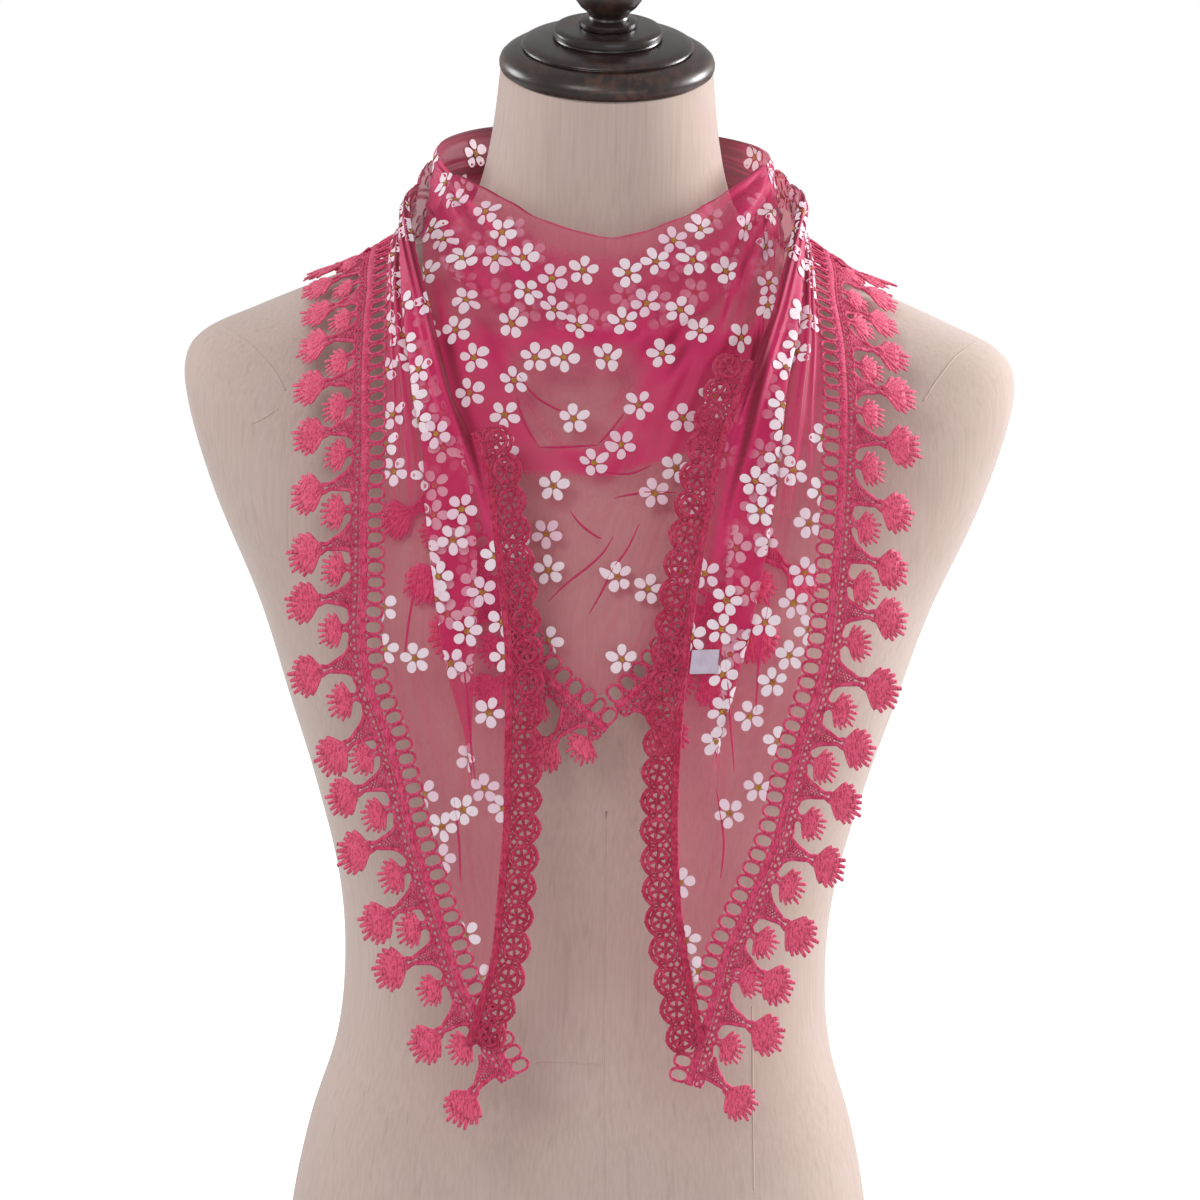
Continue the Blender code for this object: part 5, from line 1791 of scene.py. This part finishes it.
@dataclass
class ScallopLace:
    """Scalloped lace: a firm band, wheels in a net, and a scalloped edge."""

    thread: Material
    pitch: float = 13.5
    lift: float = 2.4
    climb: float = 20.0

    def __post_init__(self) -> None:
        """Make the motif."""
        self.cell = Motif("scallop_cell", self.cords())

    def cords(self) -> list[BMesh]:
        """Return the cords of one scallop."""
        p, s = self.pitch, np.linspace(0, 1, 9)
        round_16 = path_of(np.cos(circle(16)), np.sin(circle(16)))[:, :2]
        round_8, centre = round_16[::2], np.array([p / 2, 9.7])
        cords = [tube(path_of(s * (p + 0.1), 1.7), 1.9 + 0.12 * np.cos(8 * np.pi * s), 0.9, 8),
                 tube(centre + round_16 * (4.9, 4.6), 0.98, 0.7, 5, closed=True),
                 tube(centre + 0.9 * round_8, 0.8, 0.8, 4, closed=True)]
        for k in range(6):
            way = np.array([math.cos(k * math.pi / 3 + 0.2), math.sin(k * math.pi / 3 + 0.2)])
            spoke = [centre + way * reach for reach in (1.2, 3, 4.5)]
            cords.append(tube(spoke, (0.8, 0.85, 0.8), 0.62, 4))
        zigzag = [(0, 3.3), (2.2, 5.3), (4.6, 3.3), (6.75, 4.9), (8.9, 3.3), (11.3, 5.3),
                  (13.5, 3.3)]
        cords.append(tube(zigzag, 0.9, 0.55, 4))
        cords.append(tube(path_of(s * p, 12 + 4.6 * np.sin(np.pi * s) ** 0.7), 1.1, 0.7, 5))
        for x, y in ((1.2, 14), (6.75, 17.1), (12.3, 14)):
            cords.append(tube([(x - 1, y - 0.6), (x, y + 0.4), (x + 1, y - 0.6)], 0.6, 0.5, 4))
        for k in range(4):
            angle = math.radians(36 + 36 * k)
            way = np.array([math.cos(angle), math.sin(angle)])
            end = centre + way * (6.6 - 0.8 * abs(math.cos(angle)))
            cords.append(tube([centre + way * 4.6, end], 0.7, 0.52, 4))
        cords.append(tube(np.array([0.0, 8.3]) + 1.5 * round_8, 0.65, 0.5, 4, closed=True))
        for x, toward in ((0.0, 1), (p, -1)):
            for ends in (((1.3, 9), (2.6, 9.4)), ((0.4, 9.8), (0.9, 12.2)),
                         ((0.5, 6.9), (2.2, 5.2))):
                cords.append(tube(np.array(ends) * (toward, 1) + (x, 0), 0.55, 0.45, 4))
        return cords

    def sew(self, name: str, strip: EdgeStrip, node: str, lift_from: float) -> Object:
        """Sew the lace along an edge; past lift_from it climbs over the leaf lace."""
        cells = int(strip.length() / self.pitch)
        pitch = strip.length() / cells
        placed = []
        for k in range(cells):
            copy = in_turn(self.cell, k, self.pitch, pitch)
            spots = strip.place(copy, droops=False)
            spots[:, 1] -= self.lift * MM * np.clip((copy.roots - lift_from) / self.climb, 0, 1)
            placed.append((copy, spots))
        return stitch(name, placed, self.thread, node)


@dataclass
class Borders:
    """The laces round the shawl, each on its edge."""

    shawl: Shawl
    leaf: LeafLace
    scallop: ScallopLace
    run_on: float = 47.6
    run_in: float = 10.0
    fanned: float = 17.0
    corner_run: float = 13.6
    corner_start: float = 3.0
    corner_from: int = 5
    scallop_run: float = 31.0
    scallop_rise: float = 56.0
    leaf_wide: float = 45.0
    lace_room: float = 2.6
    made: dict = field(default_factory=dict)

    def strip_of(self, points: np.ndarray, inside: np.ndarray, run_on: float,
                 layers: Sequence[Layer] = (), **ways: object) -> EdgeStrip:
        """Return the frames of a border along an edge."""
        return EdgeStrip(points, inside, run_on, [(self.shawl.form.tree, 0, True), *layers], **ways)

    def sew_bib(self) -> None:
        """Border the two lower edges of the bib, which meet in a point."""
        hem, above = self.shawl.coarse["bib"][-1], self.shawl.coarse["bib"][-2]
        middle = len(hem) // 2
        self.made["bib"] = []
        for side, part, run_on, start in (
                ("left", slice(self.corner_from, middle + 1), self.corner_run, 0.0),
                ("right", slice(middle, -self.corner_from), 0, self.corner_start)):
            strip = self.strip_of(hem[part], above[part], run_on, plumb=True)
            lace = self.leaf.sew("bib_leaf_lace_" + side, strip, "lace_bib_" + side, start)
            self.made["bib"].append(lace)

    def sew_tail(self, side: str, swath: str, leaf_from: int, scallop_from: int,
                 layers: Sequence[Layer]) -> EdgeStrip:
        """Border a tail: leaf lace on from the swath behind, scallops on its inner edge.

        Args:
            side: The side that it hangs on.
            swath: The stretch behind.
            leaf_from: The row of the swath where the leaf lace starts.
            scallop_from: The row of the tail where the scallops start.
            layers: What else the leaf lace lies on.

        Returns:
            The leaf lace's frames.
        """
        behind, tail = self.shawl.coarse[swath][leaf_from:-1], self.shawl.coarse["tail_" + side]
        outer, inside = (np.concatenate([behind[:, -1 - k], tail[:, k]]) for k in (0, 1))
        strip = self.strip_of(outer, inside, self.run_on, layers, turn_in=self.run_in,
                              lay_on=self.shawl.form.tree)
        free = tail[scallop_from:]
        ends = self.strip_of(free[:, -1], free[:, -3], self.scallop_run)
        self.made[side] = [
            self.leaf.sew("leaf_lace_" + side, strip, "lace_" + side, fanned=self.fanned),
            self.scallop.sew("scallop_lace_" + side, ends, "scallop_" + side,
                             ends.length() - self.scallop_rise)]
        return strip

    def build(self) -> None:
        """Sew every border."""
        self.sew_bib()
        under = self.sew_tail("right", "cross_under", 4, 6, [])
        first = slice(0, 6 * under.by)
        reach = under.outward[first] * self.leaf_wide * MM
        strip = np.stack([under.points[first], under.points[first] + reach], axis=1)
        on_lace = (sheet_tree(strip[::4]), self.lace_room, False)
        self.sew_tail("left", "cross_over", 1, 8, [self.shawl.on_under, on_lace])


@dataclass
class TapeLabel:
    """The small blank label in front of the right tail, at its scalloped edge."""

    shawl: Shawl
    width: float = 12.5
    height: float = 11.0
    top: float = 332.0
    inset: float = 1.0
    ahead: float = 1.5
    thick: float = 0.25
    fine: tuple = (12, 14)

    def build(self, satin: Material) -> Object:
        """Hang the label; return its object."""
        tail = self.shawl.coarse["tail_right"]
        rows = []
        for drop in (0, self.height / 2, self.height):
            level = (self.top - drop) * MM
            row = next(i for i, line in enumerate(tail) if line[-1][2] < level)
            part = (tail[row - 1, -1, 2] - level) / (tail[row - 1, -1, 2] - tail[row, -1, 2])
            section = (tail[row - 1] * (1 - part) + tail[row] * part)[::-1]
            asides = (self.inset + np.array([0, 0.5, 1]) * self.width) * MM
            line = points_at(asides, lengths_along(section, 0), section)
            rows.append(line - (0, self.ahead * MM, 0))
        sheet = ClothSheet(refine(np.array(rows), *self.fine))
        u, v = sheet.across / MM, sheet.down / MM
        sheet.raise_by(0.25 * np.sin(u / 1.9 + 0.8 * np.sin(v / 3)) + 0.2 * bump((u - 4) / 0.8))
        body = join_sheets([sheet])
        bmesh.ops.solidify(body, geom=body.faces[:], thickness=self.thick * MM)
        return add_piece("tape_label", body, satin, ["label"])


# ---------------------------------------------------------------- studio


@dataclass
class Studio:
    """A plain pale floor, soft lights and the camera."""

    target: tuple = (0.0, 0.0, 0.336)
    distance: float = 3.2
    elevation: float = 7.0
    roll: float = 1.4
    seen: float = 0.5714
    shift: float = 0.005
    floor_radius: float = 6.0
    dim: float = 0.44
    lights: tuple = (     # name, place, size and power
        ("key", (-1.0, -2.3, 1.8), 1.3, 20), ("fill", (0.7, -2.5, 0.4), 1.8, 10),
        ("rim_left", (-1.9, 0.7, 1.1), 1.0, 21), ("rim_right", (1.9, 0.7, 1.1), 1.0, 56))

    def floor(self, paper: Material) -> None:
        """Lay the floor, whose edge is lost in the white room."""
        mesh = bmesh.new()
        bmesh.ops.create_circle(mesh, cap_ends=True, segments=64, radius=self.floor_radius)
        bmesh.ops.translate(mesh, verts=mesh.verts[:], vec=(0, 0, -0.5 * MM))
        floor = link("floor", mesh_of("floor", mesh))
        floor.data.materials.append(paper)

    def light(self, name: str, place: tuple, size: float, power: float) -> None:
        """Hang a soft light that faces the part."""
        data = bpy.data.lights.new(name, "AREA")
        data.shape, data.size, data.energy = "DISK", size, power
        lamp = link(name, data)
        lamp.location = place
        way = Vector(self.target) - Vector(place)
        lamp.rotation_euler = way.to_track_quat("-Z", "Y").to_euler()

    def sky(self, dim: float) -> None:
        """Surround the part with white that lights it more softly than it shows."""
        world = bpy.data.worlds.new("white_room")
        world.use_nodes = True
        nodes = Nodes(world.node_tree)
        background = world.node_tree.nodes["Background"]
        nodes.put((1, 1, 1, 1), background.inputs["Color"])
        nodes.put(nodes.math("MULTIPLY_ADD", nodes.ray("Is Camera Ray"), 1.0 - dim, dim),
                  background.inputs["Strength"])
        bpy.context.scene.world = world

    def camera(self) -> None:
        """Place the camera."""
        data = bpy.data.cameras.new("camera")
        data.sensor_width, data.shift_x = 36, self.shift
        data.lens = 36 * self.distance / self.seen
        camera = link("camera", data)
        lift = math.radians(self.elevation)
        way = Vector((0, -math.cos(lift), math.sin(lift)))
        camera.location = Vector(self.target) + way * self.distance
        roll = Matrix.Rotation(math.radians(self.roll), 3, "Z")
        turn = (-way).to_track_quat("-Z", "Y").to_matrix() @ roll
        camera.rotation_euler = turn.to_euler()
        bpy.context.scene.camera = camera

    def build(self, paper: Material) -> None:
        """Set up the studio."""
        self.floor(paper)
        self.sky(self.dim)
        for light in self.lights:
            self.light(*light)
        bpy.context.scene.view_settings.view_transform = "Standard"
        self.camera()


# ---------------------------------------------------------------- how crowded the print is


def on_bib(point: np.ndarray) -> float:
    """Return the crowd on the bib, whose upper edge is almost bare."""
    x, _, z = point
    if z > np.interp(x, (-71, 4, 76), (538, 512, 546)) - 9 - 8 * bump(x / 60):
        return 0.05
    crowd = np.interp(z, (340, 400, 450, 470), (0.25, 0.4, 0.8, 1.0))
    return float(crowd * (1 - 0.5 * ease(abs(x), 48, 64)))


def on_tail(point: np.ndarray) -> float:
    """Return the crowd on a tail, thinner towards its tip."""
    return float(np.interp(point[2], (200, 300, 400, 450, 490), (0.25, 0.4, 0.8, 1.0, 0.9)))


def on_turn(point: np.ndarray) -> float:
    """Return the crowd on a turn round the neck, thinner behind it."""
    return 0.7 if point[1] < 12 else 0.2


def on_swath(point: np.ndarray) -> float:
    """Return the crowd on a swath behind the neck, the same all over."""
    return 0.9


def main() -> None:
    """Build and dress every piece, from the inside outwards."""
    logging.basicConfig(level=logging.INFO, format="%(name)s: %(message)s")
    Studio().build(StudioPaper().material())
    form = DressForm()
    form.build(LinenCover().material())
    NeckCap().build(form, TurnedWood().material())
    shawl = Shawl(form)
    shawl.lay()
    organza = SheerCloth().material()
    cloth = shawl.build(organza)
    pinched = {name: PinchedFolds(shawl).build(name + "_pinches", part, organza)
               for name, part in (("bib", "bib"), ("left", "tail_left"), ("right", "tail_right"))}
    # The scallop lace's thread is a darker copy of the leaf lace's thread, partly painted shade for
    # lace that lies in shadow on the tails' inner edges.
    shaded = GuipureThread("shaded_thread", (0.54, 0.026, 0.088, 1), (0.74, 0.085, 0.185, 1),
                           (0.26, 0.005, 0.024, 1))
    borders = Borders(shawl, LeafLace(GuipureThread().material()), ScallopLace(shaded.material()))
    borders.build()
    label = TapeLabel(shawl).build(SatinTape().material())

    ink = PrintedInk().material()
    for name, parts in (("bib", (("bib", on_bib), ("turn_left", on_turn), ("turn_right", on_turn))),
                        ("left", (("cross_over", on_swath), ("tail_left", on_tail))),
                        ("right", (("cross_under", on_swath), ("tail_right", on_tail)))):
        sheets = [(shawl.sheets[part], weight) for part, weight in parts]
        FlowerPrint(seed=7 + len(name)).print_on(name + "_flowers", sheets, ink)


if __name__ == "__main__":
    main()
